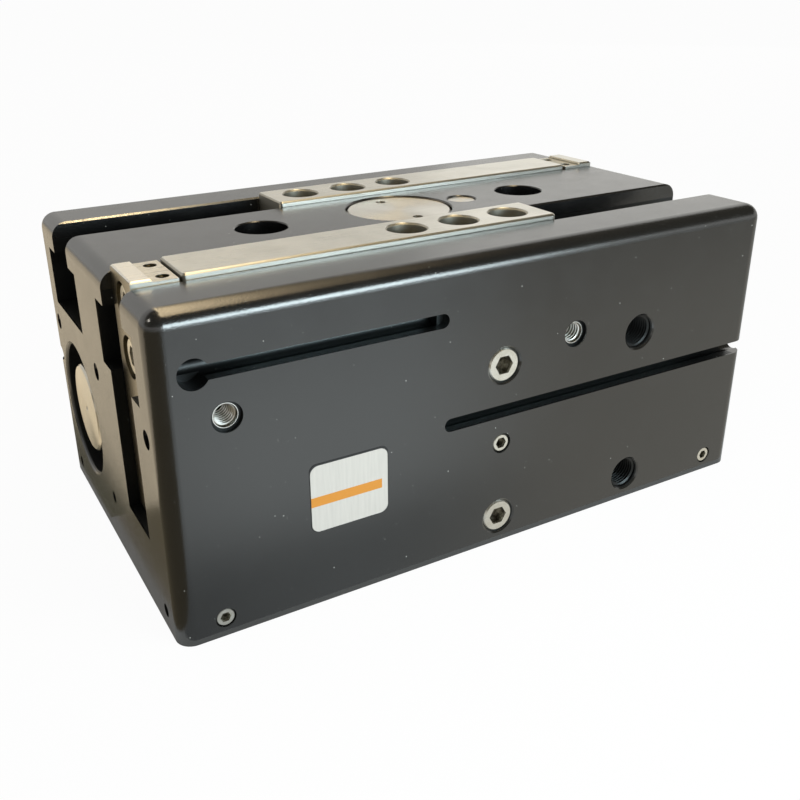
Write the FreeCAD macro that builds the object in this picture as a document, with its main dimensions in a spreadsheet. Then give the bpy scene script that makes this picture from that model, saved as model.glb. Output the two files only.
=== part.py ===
import FreeCAD, Part
import Sketcher
import math
import operator
import os
from types import SimpleNamespace

# Pneumatic long-stroke parallel gripper, closed. The origin is the centre of the underside, +X runs along the
# block, -Y is the face with the air ports and +Z points to the jaws. The near jaw and its cylinder lie at -Y,
# and the far ones are the same pieces turned half a turn about Z.

# Driving sizes in millimetres
SIZES = {
    # block
    "housing_round": 4.4,
    "edge_break": 0.5,
    "hole_break": 0.3,
    # stack up the block, from the underside to the top
    "bore_floor": 11.8,
    "bore_diameter": 40.0,
    "bore_roof": 9.4,
    "channel_depth": 17.2,
    "neck_depth": 8.6,
    # jaw slots, from the pinion outward to the block's side
    "rack_wall_gap": 0.55,
    "channel_width": 32.6,
    "neck_width": 17.6,
    "side_wall": 11.45,
    "slide_clearance": 0.1,
    # stack along one cylinder, from the drive block's end to the cylinder's mouth
    "block_recess": 3.0,
    "block_thickness": 12.2,
    "jaw_stroke": 60.0,
    "drive_slot_gap": 1.2,
    "partition_thickness": 4.6,
    "gland_length": 18.0,
    "piston_gap": 0.5,
    "piston_length": 14.0,
    "buffer_thickness": 1.5,
    "cap_thickness": 8.0,
    "mouth_depth": 6.5,
    # drive slot
    "drive_slot_side_gap": 0.5,
    "drive_slot_drop": 10.2,
    "block_floor_gap": 0.6,
    # cylinder
    "mouth_chamfer": 0.8,
    "fit_clearance": 0.05,
    "running_clearance": 0.05,
    "rod_diameter": 14.0,
    "rod_hole_gap": 1.0,
    # jaw
    "jaw_length": 110.3,
    "jaw_proud": 1.6,
    "jaw_corner_round": 1.0,
    "finger_hole_diameter": 11.0,
    "finger_hole_depth": 8.0,
    "finger_thread_diameter": 6.8,
    "finger_thread_depth": 20.0,
    "finger_hole_spacing": 16.8,
    "finger_hole_inset": 10.8,
    # drive block
    "lip_thickness": 5.2,
    "step_proud": 0.8,
    "step_relief": 0.7,
    "step_relief_depth": 3.0,
    "step_hole_diameter": 3.3,
    "step_hole_spacing": 10.0,
    "step_hole_depth": 4.5,
    "upper_screw_drop": 7.6,
    "middle_screw_rise": 6.2,
    # drive block screws
    "screw_diameter": 6.0,
    "screw_length": 18.0,
    "screw_head_diameter": 10.0,
    "screw_head_height": 6.0,
    "screw_socket": 5.0,
    "screw_socket_depth": 3.0,
    "screw_head_recess": 0.7,
    "screw_seat_gap": 0.5,
    "screw_hole_gap": 0.3,
    "screw_break": 0.6,
    "tapped_hole_spare": 2.0,
    # piston
    "piston_clearance": 0.2,
    "seal_land": 1.2,
    "seal_width": 2.6,
    "seal_depth": 2.4,
    "guide_width": 3.6,
    "guide_depth": 1.2,
    "magnet_inner_diameter": 18.0,
    "magnet_outer_diameter": 27.0,
    "magnet_width": 3.0,
    "spigot_diameter": 10.0,
    "nut_flats": 16.0,
    "nut_height": 5.0,
    "nut_recess_gap": 0.8,
    "nut_recess": 0.5,
    # gland
    "bush_wall": 1.5,
    "rod_bush_land": 2.0,
    "rod_seal_width": 4.0,
    "rod_seal_depth": 3.0,
    "rod_seal_land": 2.0,
    "rod_land_gap": 0.2,
    "ring_section": 2.5,
    "gland_ring_place": 5.0,
    "gland_groove_inset": 4.0,
    "gland_groove_gap": 0.2,
    "gland_groove_depth": 1.6,
    # cap, retaining ring and end stop
    "cap_ring_place": 4.0,
    "retainer_thickness": 1.75,
    "retainer_width": 3.0,
    "retainer_groove_depth": 1.0,
    "retainer_opening": 36.0,
    "stud_diameter": 16.0,
    "stop_diameter": 27.0,
    "stop_recess": 1.0,
    "stop_chamfer": 0.6,
    "centre_mark": 1.2,
    "buffer_diameter": 30.0,
    # pinion
    "gear_module": 1.0,
    "gear_tooth_pairs": 13.0,
    "gear_backlash": 0.2,
    "pressure_angle": 20.0,
    "tooth_root_share": 1.25,
    "rack_margin": 9.0,
    "pinion_tip_gap": 0.4,
    "journal_diameter": 12.0,
    "pinion_bush_wall": 2.0,
    "pinion_bush_length": 12.0,
    "pinion_cover_bush_length": 5.5,
    "pinion_collar_gap": 2.0,
    "pinion_collar_height": 2.0,
    "pinion_end_gap": 0.2,
    # pinion cover and pressed plug
    "cover_diameter": 31.6,
    "cover_seat_gap": 0.3,
    "cover_recess": 0.5,
    "cover_thickness": 6.0,
    "cover_hub_gap": 0.9,
    "cover_pin_spacing": 22.0,
    "cover_pin_diameter": 3.0,
    "cover_pin_depth": 3.0,
    "top_plug_gap": 2.1,
    "top_plug_diameter": 9.0,
    "top_plug_length": 5.0,
    "top_plug_recess": 0.5,
    # through holes for mounting
    "mount_spacing": 89.5,
    "mount_hole_diameter": 9.0,
    "mount_seat_diameter": 15.0,
    "mount_seat_depth": 30.0,
    # air ports and their plugs
    "port_place": 48.4,
    "port_drop": 6.0,
    "port_low_height": 8.3,
    "port_diameter": 9.728,
    "port_depth": 12.0,
    "port_chamfer": 0.7,
    "port_link_diameter": 4.0,
    "port_link_depth": 10.0,
    "plug_length": 7.0,
    "plug_recess": 0.3,
    "plug_break": 0.4,
    "plug_socket": 5.0,
    "plug_socket_depth": 4.0,
    "gallery_plug_inset": 12.0,
    "gallery_plug_height": 5.3,
    "gallery_plug_diameter": 5.4,
    "gallery_plug_length": 6.0,
    "gallery_plug_socket": 2.5,
    "gallery_plug_socket_depth": 2.5,
    "gland_screw_diameter": 6.0,
    "gland_screw_point": 4.0,
    "gland_screw_reach": 1.2,
    "gland_screw_break": 0.6,
    "gland_screw_socket": 3.0,
    "gland_screw_socket_depth": 3.0,
    # side mounting threads
    "insert_left": 78.3,
    "insert_right": 24.1,
    "insert_drop": 1.75,
    "insert_diameter": 6.4,
    "insert_bore": 5.0,
    "insert_wall": 1.25,
    "insert_seat_diameter": 7.8,
    "insert_seat_depth": 1.2,
    # sensor slots
    "sensor_opening": 3.9,
    "sensor_neck_depth": 3.0,
    "sensor_channel_diameter": 5.2,
    "sensor_channel_depth": 4.6,
    "jaw_sensor_drop": 6.9,
    "jaw_sensor_inset": 9.8,
    "jaw_sensor_end": 18.0,
    "jaw_sensor_entry_diameter": 7.7,
    "jaw_sensor_entry_depth": 6.2,
    "piston_sensor_rise": 9.9,
    "piston_sensor_start": 18.9,
    # tapped holes in the end faces
    "end_hole_diameter": 4.9,
    "end_hole_depth": 11.0,
    "end_hole_drop": 7.1,
    "end_hole_offset": 46.5,
    "end_small_diameter": 3.5,
    "end_small_depth": 8.0,
    "end_small_height": 15.0,
    "end_corner_height": 5.4,
    "end_corner_offset": 45.2,
    # label
    "label_left": 58.7,
    "label_bottom": 21.8,
    "label_width": 22.4,
    "label_height": 19.4,
    "label_round": 2.0,
    "label_thickness": 0.1,
    # how far a cut runs past the face it starts from
    "overcut": 1.0,
}

HALF_TURN = 180.0
FULL_TURN = 360.0
SOCKET_SIDES = 6
FINGER_HOLES = 3
SAME_PLACE = 1e-4

doc = FreeCAD.newDocument("parallel_gripper")
sheet = doc.addObject("Spreadsheet::Sheet", "Sizes")
for row, (name, amount) in enumerate(SIZES.items(), start=1):
    sheet.set(f"A{row}", name)
    sheet.set(f"B{row}", str(amount))
    sheet.setAlias(f"B{row}", name)
doc.recompute()


class Linked:
    """A size in the sheet, or arithmetic on sizes: the number it has now and the expression that gives it."""

    def __init__(self, number, text):
        self.number = float(number)
        self.text = text

    def __add__(self, other):
        return combine(self, "+", other)

    def __radd__(self, other):
        return combine(other, "+", self)

    def __sub__(self, other):
        return combine(self, "-", other)

    def __rsub__(self, other):
        return combine(other, "-", self)

    def __mul__(self, other):
        return combine(self, "*", other)

    def __rmul__(self, other):
        return combine(other, "*", self)

    def __truediv__(self, other):
        return combine(self, "/", other)

    def __neg__(self):
        return combine(0, "-", self)


OPERATIONS = {"+": operator.add, "-": operator.sub, "*": operator.mul, "/": operator.truediv}


def linked(amount):
    """The amount as a Linked value, also where it is a plain number."""
    if isinstance(amount, Linked):
        return amount
    return Linked(amount, f"({float(amount)!r})")


def combine(left, sign, right):
    left = linked(left)
    right = linked(right)
    return Linked(OPERATIONS[sign](left.number, right.number), f"({left.text} {sign} {right.text})")


def round_up(amount):
    """The next whole number, as a Linked value."""
    return Linked(math.ceil(amount.number), f"ceil({amount.text})")


def nearest_whole(amount):
    return Linked(round(amount.number), f"round({amount.text})")


def bind(thing, name, amount):
    thing.setExpression(name, linked(amount).text)


size = SimpleNamespace(**{name: Linked(amount, f"Sizes.{name}") for name, amount in SIZES.items()})

# Places along X for the near cylinder, from the left end face to the right one
stack = (
    size.block_recess + size.block_thickness + size.jaw_stroke + size.drive_slot_gap
    + size.partition_thickness + size.gland_length + size.piston_gap + size.piston_length + size.jaw_stroke
    + size.piston_gap + size.buffer_thickness + size.cap_thickness + size.mouth_depth
)
half_length = stack / 2
block_face = size.block_recess - half_length
block_back = block_face + size.block_thickness
drive_slot_end = block_back + size.jaw_stroke + size.drive_slot_gap
gland_start = drive_slot_end + size.partition_thickness
gland_end = gland_start + size.gland_length
piston_start = gland_end + size.piston_gap
piston_end = piston_start + size.piston_length
buffer_start = piston_end + size.jaw_stroke + size.piston_gap
cap_start = buffer_start + size.buffer_thickness
cap_end = cap_start + size.cap_thickness

# Heights, from the underside to the top
bore_radius = size.bore_diameter / 2
bore_height = size.bore_floor + bore_radius
channel_floor = bore_height + bore_radius + size.bore_roof
neck_floor = channel_floor + size.channel_depth
housing_height = neck_floor + size.neck_depth
jaw_underside = channel_floor + size.slide_clearance
jaw_top = housing_height + size.jaw_proud
drive_slot_floor = bore_height - size.drive_slot_drop

# Places across the block, from the pinion's teeth to the front face
pitch_radius = size.gear_module * nearest_whole(size.gear_tooth_pairs)
rack_pitch = math.pi * size.gear_module
rack_tip = pitch_radius - size.gear_module
tip_radius = pitch_radius + size.gear_module
neck_half = size.neck_width / 2
channel_half = size.channel_width / 2
slot_offset = rack_tip - size.rack_wall_gap + channel_half
slot_middle = -slot_offset
half_width = slot_offset + channel_half + size.side_wall
front_gallery = half_width - size.port_link_depth

# Radii that several pieces share
fitted_radius = bore_radius - size.fit_clearance
rod_radius = size.rod_diameter / 2
journal_radius = size.journal_diameter / 2
pinion_bush_radius = journal_radius + size.pinion_bush_wall
pinion_hole_radius = tip_radius + size.pinion_tip_gap
cover_hole_radius = size.cover_diameter / 2 + size.cover_seat_gap
top_plug_place = cover_hole_radius + size.top_plug_gap + size.top_plug_diameter / 2

# Heights of the pinion and its cover, which clears the jaws' flanges
cover_hub_bottom = neck_floor + size.pinion_end_gap
cover_top = housing_height - size.cover_recess
cover_underside = cover_top - size.cover_thickness
gear_bottom = channel_floor + size.pinion_collar_height + size.pinion_end_gap
gear_top = cover_hub_bottom - size.pinion_collar_height - size.pinion_end_gap

pieces = []


def new_body(label, turn=0.0, several=False):
    """An empty body that will be written to its own file, turned about Z where it belongs to the far side."""
    body = doc.addObject("PartDesign::Body", label)
    body.Label = label
    body.AllowCompound = several
    body.Placement = FreeCAD.Placement(
        FreeCAD.Vector(), FreeCAD.Rotation(FreeCAD.Vector(0, 0, 1), turn)
    )
    pieces.append(body)
    return body


def origin_feature(body, role):
    return next(feature for feature in body.Origin.OriginFeatures if feature.Role == role)


def sketch_on(body, role, right=0.0, up=0.0, out=0.0):
    """A sketch on one of the body's planes, its origin moved right, up and out along the plane's normal.

    XY has right X, up Y and out +Z, XZ has right X, up Z and out -Y, and YZ has right Y, up Z and out +X.
    """
    sketch = body.newObject("Sketcher::SketchObject", f"{body.Label}_sketch")
    sketch.AttachmentSupport = [(origin_feature(body, role), "")]
    sketch.MapMode = "FlatFace"
    for axis, amount in zip("xyz", (right, up, out)):
        bind(sketch, f"AttachmentOffset.Base.{axis}", amount)
    return sketch


def hold(sketch, kind, amount, *places):
    """A dimension of the sketch that follows the sheet."""
    amount = linked(amount)
    row = sketch.addConstraint(Sketcher.Constraint(kind, *places, amount.number))
    sketch.setExpression(f"Constraints[{row}]", amount.text)


def pin(sketch, edge, point, right, up):
    hold(sketch, "DistanceX", right, -1, 1, edge, point)
    hold(sketch, "DistanceY", up, -1, 1, edge, point)


def outline(sketch, corners):
    """A closed outline of straight lines through the corners, each a pair of right and up."""
    first = sketch.GeometryCount
    count = len(corners)
    points = [FreeCAD.Vector(linked(right).number, linked(up).number, 0) for right, up in corners]
    for index in range(count):
        sketch.addGeometry(Part.LineSegment(points[index], points[(index + 1) % count]))
    for index, (right, up) in enumerate(corners):
        sketch.addConstraint(
            Sketcher.Constraint("Coincident", first + index, 2, first + (index + 1) % count, 1)
        )
        pin(sketch, first + index, 1, right, up)


def rectangle(sketch, left, bottom, right, top):
    outline(sketch, [(left, bottom), (right, bottom), (right, top), (left, top)])


def circle(sketch, right, up, diameter):
    diameter = linked(diameter)
    centre = FreeCAD.Vector(linked(right).number, linked(up).number, 0)
    edge = sketch.addGeometry(Part.Circle(centre, FreeCAD.Vector(0, 0, 1), diameter.number / 2))
    pin(sketch, edge, 3, right, up)
    hold(sketch, "Diameter", diameter, edge)


def hexagon(sketch, right, up, flats):
    """A hexagon with the given width across flats."""
    corner = flats / math.sqrt(3)
    turns = [math.radians(FULL_TURN * index / SOCKET_SIDES) for index in range(SOCKET_SIDES)]
    outline(sketch, [(right + corner * math.cos(turn), up + corner * math.sin(turn)) for turn in turns])


def feature(body, kind, sketch):
    made = body.newObject(f"PartDesign::{kind}", f"{body.Label}_{kind.lower()}")
    made.Profile = sketch
    return made


def settle(made, grows, volume_before):
    """Recompute and make sure that the feature added or took away material."""
    doc.recompute()
    gained = made.Shape.Volume - volume_before
    if (gained > 0) != grows:
        raise RuntimeError(f"{made.Label} changes the volume by {gained}")
    return made


def volume_of(body):
    return body.Shape.Volume if body.Tip else 0.0


def pad(body, sketch, length, against_normal=False, both_ways=False):
    before = volume_of(body)
    made = feature(body, "Pad", sketch)
    made.Reversed = against_normal
    made.SideType = "Symmetric" if both_ways else "One side"
    bind(made, "Length", length)
    return settle(made, True, before)


def pocket(body, sketch, depth, along_normal=False):
    """Cut into the body, against the sketch's normal unless told otherwise."""
    before = volume_of(body)
    made = feature(body, "Pocket", sketch)
    made.Reversed = along_normal
    bind(made, "Length", depth)
    return settle(made, False, before)


def pocket_through(body, sketch):
    before = volume_of(body)
    made = feature(body, "Pocket", sketch)
    made.Type = "ThroughAll"
    made.SideType = "Symmetric"
    return settle(made, False, before)


def turn_about(body, sketch, kind, angle=FULL_TURN, axis="H_Axis"):
    """A Revolution or a Groove of the sketch about its own horizontal or vertical axis."""
    before = volume_of(body)
    made = feature(body, kind, sketch)
    made.ReferenceAxis = (sketch, [axis])
    bind(made, "Angle", angle)
    return settle(made, kind == "Revolution", before)


def dress(body, kind, base, wanted, prop, amount):
    """A Fillet or a Chamfer on the base's edges for which wanted(edge) holds."""
    names = [f"Edge{index}" for index, edge in enumerate(base.Shape.Edges, start=1) if wanted(edge)]
    made = body.newObject(f"PartDesign::{kind}", f"{body.Label}_{kind.lower()}")
    made.Base = (base, names)
    bind(made, prop, amount)
    doc.recompute()
    return made


def at_place(edge, axis, place):
    """Whether the whole edge lies at this place along the axis."""
    ends = (getattr(edge.BoundBox, f"{axis}Min"), getattr(edge.BoundBox, f"{axis}Max"))
    return all(abs(end - place) < SAME_PLACE for end in ends)


def at_height(edge, height):
    return at_place(edge, "Z", height)


def cylinder_sketch(body):
    """A sketch in the upright plane through the near cylinder's axis, which is its horizontal axis."""
    return sketch_on(body, "XZ_Plane", up=bore_height, out=slot_offset)


def turned_on_cylinder(label, turn, sections, several=False):
    """A piece turned about the near cylinder's axis, from sections of (place along X, radius) corners."""
    body = new_body(label, turn, several)
    sketch = cylinder_sketch(body)
    for corners in sections:
        outline(sketch, corners)
    turn_about(body, sketch, "Revolution")
    return body


def ring_section(start, end, inner, outer):
    return [(start, inner), (end, inner), (end, outer), (start, outer)]


# Housing: a block with rounded upright and top edges
housing = new_body("housing")
footprint = sketch_on(housing, "XY_Plane")
rectangle(footprint, -half_length, -half_width, half_length, half_width)
raw_block = pad(housing, footprint, housing_height)
dress(housing, "Fillet", raw_block, lambda edge: not at_height(edge, 0.0), "Radius", size.housing_round)

# Everything from here to the pattern is cut for the near side and repeated half a turn round
near_cuts = []

# T-slot along the whole block, with broken top edges
slot_profile = sketch_on(housing, "YZ_Plane")
slot_half_outline = [
    (neck_half + size.edge_break, housing_height + size.overcut),
    (neck_half + size.edge_break, housing_height),
    (neck_half, housing_height - size.edge_break),
    (neck_half, neck_floor),
    (channel_half, neck_floor),
    (channel_half, channel_floor),
]
slot_outline = [(slot_middle + across, up) for across, up in slot_half_outline]
slot_outline += [(slot_middle - across, up) for across, up in reversed(slot_half_outline)]
outline(slot_profile, slot_outline)
near_cuts.append(pocket_through(housing, slot_profile))

# Deep slot for the drive block, from the left end
drive_profile = sketch_on(housing, "YZ_Plane", out=-half_length)
drive_half = neck_half + size.drive_slot_side_gap
rectangle(
    drive_profile, slot_middle - drive_half, drive_slot_floor,
    slot_middle + drive_half, channel_floor + size.overcut,
)
near_cuts.append(pocket(housing, drive_profile, half_length + drive_slot_end, along_normal=True))

# Cylinder bore from the right end, with the rod's hole, the retaining ring's groove and a chamfered mouth
bore_profile = cylinder_sketch(housing)
rod_hole_radius = rod_radius + size.rod_hole_gap
groove_radius = bore_radius + size.retainer_groove_depth
groove_end = cap_end + size.retainer_thickness + size.running_clearance
mouth_radius = bore_radius + size.mouth_chamfer
outline(bore_profile, [
    (drive_slot_end - size.overcut, 0.0),
    (drive_slot_end - size.overcut, rod_hole_radius),
    (gland_start, rod_hole_radius),
    (gland_start, bore_radius),
    (cap_end, bore_radius),
    (cap_end, groove_radius),
    (groove_end, groove_radius),
    (groove_end, bore_radius),
    (half_length - size.mouth_chamfer, bore_radius),
    (half_length, mouth_radius),
    (half_length + size.overcut, mouth_radius),
    (half_length + size.overcut, 0.0),
])
near_cuts.append(turn_about(housing, bore_profile, "Groove"))


def front_sketch(body):
    """A sketch on the front face, right is X and up is Z."""
    return sketch_on(body, "XZ_Plane", out=half_width)


# Sensor slots: a narrow opening with a rounded end, and a round channel behind it
opening_half = size.sensor_opening / 2
jaw_sensor_start = size.jaw_sensor_inset - half_length
jaw_sensor_height = neck_floor - size.jaw_sensor_drop
sensor_slots = (
    (jaw_sensor_start - size.sensor_channel_diameter / 2, -size.jaw_sensor_end, jaw_sensor_height),
    (half_length + size.overcut, -size.piston_sensor_start, bore_height + size.piston_sensor_rise),
)
for mouth, blind_end, height in sensor_slots:
    toward_mouth = 1.0 if mouth.number > blind_end.number else -1.0
    end_centre = blind_end + toward_mouth * opening_half
    left = mouth if toward_mouth < 0 else end_centre
    right = end_centre if toward_mouth < 0 else mouth
    opening = front_sketch(housing)
    rectangle(opening, left, height - opening_half, right, height + opening_half)
    near_cuts.append(pocket(housing, opening, size.sensor_neck_depth))
    rounded_end = front_sketch(housing)
    circle(rounded_end, end_centre, height, size.sensor_opening)
    near_cuts.append(pocket(housing, rounded_end, size.sensor_neck_depth))
    channel = sketch_on(housing, "YZ_Plane", out=right)
    circle(channel, size.sensor_channel_depth - half_width, height, size.sensor_channel_diameter)
    near_cuts.append(pocket(housing, channel, right - left))

sensor_entry = front_sketch(housing)
circle(sensor_entry, jaw_sensor_start, jaw_sensor_height, size.jaw_sensor_entry_diameter)
near_cuts.append(pocket(housing, sensor_entry, size.jaw_sensor_entry_depth))

# Side mounting holes for the thread inserts, and the hole of the screw that holds the gland
insert_hole_depth = size.side_wall - size.insert_wall
insert_height = channel_floor - size.insert_drop
insert_places = (-size.insert_left, size.insert_right)
for diameter, depth in (
    (size.insert_diameter, insert_hole_depth),
    (size.insert_seat_diameter, size.insert_seat_depth),
):
    insert_holes = front_sketch(housing)
    for place in insert_places:
        circle(insert_holes, place, insert_height, diameter)
    near_cuts.append(pocket(housing, insert_holes, depth))

gland_groove_middle = gland_end - size.gland_groove_inset
bore_wall_depth = half_width - slot_offset - bore_radius
gland_screw_hole = front_sketch(housing)
circle(gland_screw_hole, gland_groove_middle, bore_height, size.gland_screw_diameter)
near_cuts.append(pocket(housing, gland_screw_hole, bore_wall_depth + size.overcut))

# Tapped holes in the end faces
end_holes = sketch_on(housing, "YZ_Plane", out=-half_length)
for across in (-size.end_hole_offset, linked(0.0), size.end_hole_offset):
    circle(end_holes, across, channel_floor - size.end_hole_drop, size.end_hole_diameter)
near_cuts.append(pocket(housing, end_holes, size.end_hole_depth, along_normal=True))
small_end_holes = sketch_on(housing, "YZ_Plane", out=-half_length)
circle(small_end_holes, 0.0, size.end_small_height, size.end_small_diameter)
for across in (-size.end_corner_offset, size.end_corner_offset):
    circle(small_end_holes, across, size.end_corner_height, size.end_small_diameter)
near_cuts.append(pocket(housing, small_end_holes, size.end_small_depth, along_normal=True))

far_cuts = housing.newObject("PartDesign::PolarPattern", "housing_far_side")
far_cuts.Originals = near_cuts
far_cuts.Axis = (origin_feature(housing, "Z_Axis"), [""])
far_cuts.Angle = FULL_TURN
far_cuts.Occurrences = 2
housing.Tip = far_cuts
doc.recompute()

# Through holes with deep seats for the mounting screws
for diameter, depth in (
    (size.mount_hole_diameter, housing_height),
    (size.mount_seat_diameter, size.mount_seat_depth),
):
    mount_holes = sketch_on(housing, "XY_Plane", out=housing_height)
    for place in (-size.mount_spacing / 2, size.mount_spacing / 2):
        circle(mount_holes, place, 0.0, diameter)
    pocket(housing, mount_holes, depth)

# Stepped hole for the pinion, open to both jaw channels, and the seat of the pressed plug
pinion_cuts = (
    (cover_hole_radius, housing_height - cover_underside),
    (pinion_hole_radius, housing_height - channel_floor),
    (pinion_bush_radius, housing_height - channel_floor + size.pinion_bush_length),
)
for radius, depth in pinion_cuts:
    pinion_hole = sketch_on(housing, "XY_Plane", out=housing_height)
    circle(pinion_hole, 0.0, 0.0, 2 * radius)
    pocket(housing, pinion_hole, depth)
plug_seat = sketch_on(housing, "XY_Plane", out=housing_height)
circle(plug_seat, top_plug_place, 0.0, size.top_plug_diameter)
pocket(housing, plug_seat, size.top_plug_recess + size.top_plug_length)

# Air ports: two open ones and two spare ones, joined in pairs by a drilled line
port_heights = (channel_floor - size.port_drop, size.port_low_height)
port_holes = front_sketch(housing)
for place in (linked(0.0), size.port_place):
    for height in port_heights:
        circle(port_holes, place, height, size.port_diameter)
ports = pocket(housing, port_holes, size.port_depth)
port_lines = sketch_on(housing, "YZ_Plane", out=size.port_place)
for height in port_heights:
    circle(port_lines, -front_gallery, height, size.port_link_diameter)
pocket(housing, port_lines, size.port_place)
gallery_holes = front_sketch(housing)
gallery_places = (size.gallery_plug_inset - half_length, half_length - size.gallery_plug_inset)
for place in gallery_places:
    circle(gallery_holes, place, size.gallery_plug_height, size.gallery_plug_diameter)
drilled = pocket(housing, gallery_holes, size.plug_recess + size.gallery_plug_length)


def port_mouth(edge):
    """The rim of an air port on the front face."""
    fits_port = abs(edge.BoundBox.ZLength - size.port_diameter.number) < SAME_PLACE
    return fits_port and at_place(edge, "Y", -half_width.number)


chamfered = dress(housing, "Chamfer", drilled, port_mouth, "Size", size.port_chamfer)


def top_rim(edge):
    """The rim of a round hole in the top face."""
    return edge.isClosed() and at_height(edge, housing_height.number)


dress(housing, "Chamfer", chamfered, top_rim, "Size", size.hole_break)


# Places of the screws through a drive block
screw_seat = block_face + size.screw_head_recess + size.screw_head_height
jaw_screw_reach = screw_seat + size.screw_length - block_back
upper_screw_height = jaw_top - size.upper_screw_drop
middle_screw_height = channel_floor + size.middle_screw_rise
screw_heights = (upper_screw_height, middle_screw_height, bore_height)


def build_jaw(side, turn):
    """T-section jaw bar with finger holes, a rack on its inner flange and tapped holes in its end."""
    body = new_body(f"{side}_jaw", turn)
    profile = sketch_on(body, "YZ_Plane", out=block_back)
    neck = neck_half - size.slide_clearance
    flange_top = neck_floor - size.slide_clearance
    outer = slot_middle - channel_half + size.slide_clearance
    outline(profile, [
        (outer, jaw_underside),
        (-rack_tip, jaw_underside),
        (-rack_tip, flange_top),
        (slot_middle + neck, flange_top),
        (slot_middle + neck, jaw_top),
        (slot_middle - neck, jaw_top),
        (slot_middle - neck, flange_top),
        (outer, flange_top),
    ])
    bar = pad(body, profile, size.jaw_length)
    jaw_end = block_back + size.jaw_length

    def neck_corner(edge):
        """An upright edge of the neck, at either end of the bar."""
        return edge.BoundBox.ZLength > SAME_PLACE and abs(edge.BoundBox.ZMax - jaw_top.number) < SAME_PLACE

    dress(body, "Fillet", bar, neck_corner, "Radius", size.jaw_corner_round)
    for diameter, depth in (
        (size.finger_hole_diameter, size.finger_hole_depth),
        (size.finger_thread_diameter, size.finger_thread_depth),
    ):
        holes = sketch_on(body, "XY_Plane", out=jaw_top)
        for index in range(FINGER_HOLES):
            circle(holes, jaw_end - size.finger_hole_inset - index * size.finger_hole_spacing,
                   slot_middle, diameter)
        drilled_bar = pocket(body, holes, depth)
    dress(body, "Chamfer", drilled_bar, lambda edge: at_height(edge, jaw_top.number), "Size", size.edge_break)

    tapped = sketch_on(body, "YZ_Plane", out=block_back)
    for height in (upper_screw_height, middle_screw_height):
        circle(tapped, slot_middle, height, size.screw_diameter + 2 * size.fit_clearance)
    pocket(body, tapped, jaw_screw_reach + size.tapped_hole_spare, along_normal=True)

    gap = sketch_on(body, "XY_Plane", out=jaw_top)
    slope = math.tan(math.radians(size.pressure_angle.number))
    half_gap = rack_pitch / 4 + size.gear_backlash / 4
    root = size.gear_module * size.tooth_root_share
    mouth = size.gear_module + size.overcut
    left_gaps = round_up((size.jaw_stroke + size.rack_margin) / rack_pitch)
    right_gaps = round_up(size.rack_margin / rack_pitch)
    first = -left_gaps * rack_pitch
    outline(gap, [
        (first - half_gap - mouth * slope, mouth - pitch_radius),
        (first - half_gap + root * slope, -pitch_radius - root),
        (first + half_gap - root * slope, -pitch_radius - root),
        (first + half_gap + mouth * slope, mouth - pitch_radius),
    ])
    first_gap = pocket(body, gap, jaw_top)
    rack = body.newObject("PartDesign::LinearPattern", f"{side}_jaw_rack")
    rack.Originals = [first_gap]
    rack.Direction = (gap, ["H_Axis"])
    bind(rack, "Length", (left_gaps + right_gaps) * rack_pitch)
    bind(rack, "Occurrences", left_gaps + right_gaps + 1)
    body.Tip = rack
    doc.recompute()


def build_drive_block(side, turn):
    """End block that ties a jaw to its piston rod, with three screw seats, a lip and a relieved step."""
    body = new_body(f"{side}_drive_block", turn)
    lip_back = block_face + size.lip_thickness
    step_top = housing_height + size.step_proud
    relief_bottom = step_top - size.step_relief_depth
    bottom = drive_slot_floor + size.block_floor_gap
    profile = sketch_on(body, "XZ_Plane", out=slot_offset)
    outline(profile, [
        (block_face, bottom),
        (block_back, bottom),
        (block_back, relief_bottom),
        (block_back - size.step_relief, relief_bottom),
        (block_back - size.step_relief, step_top),
        (lip_back, step_top),
        (lip_back, jaw_top),
        (block_face, jaw_top),
    ])
    blank = pad(body, profile, size.neck_width - 2 * size.slide_clearance, both_ways=True)
    dress(body, "Chamfer", blank, lambda edge: at_height(edge, jaw_top.number), "Size", size.edge_break)
    for diameter, depth in (
        (size.screw_diameter + 2 * size.screw_hole_gap, size.block_thickness),
        (size.screw_head_diameter + 2 * size.screw_seat_gap, screw_seat - block_face),
    ):
        holes = sketch_on(body, "YZ_Plane", out=block_face)
        for height in screw_heights:
            circle(holes, slot_middle, height, diameter)
        pocket(body, holes, depth, along_normal=True)
    step_holes = sketch_on(body, "XY_Plane", out=step_top)
    for across in (-size.step_hole_spacing / 2, size.step_hole_spacing / 2):
        circle(step_holes, (lip_back + block_back) / 2, slot_middle + across, size.step_hole_diameter)
    pocket(body, step_holes, size.step_hole_depth)


def build_block_screws(side, turn):
    """Three socket head screws: two into the jaw, one into the piston rod."""
    body = new_body(f"{side}_block_screws", turn, several=True)
    heads = sketch_on(body, "YZ_Plane", out=screw_seat)
    shanks = sketch_on(body, "YZ_Plane", out=screw_seat)
    sockets = sketch_on(body, "YZ_Plane", out=screw_seat - size.screw_head_height)
    for height in screw_heights:
        circle(heads, slot_middle, height, size.screw_head_diameter)
        circle(shanks, slot_middle, height, size.screw_diameter)
        hexagon(sockets, slot_middle, height, size.screw_socket)
    blanks = pad(body, heads, size.screw_head_height, against_normal=True)
    head_face = (screw_seat - size.screw_head_height).number
    dress(body, "Chamfer", blanks, lambda edge: at_place(edge, "X", head_face), "Size", size.screw_break)
    pad(body, shanks, size.screw_length)
    pocket(body, sockets, size.screw_socket_depth, along_normal=True)


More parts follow.
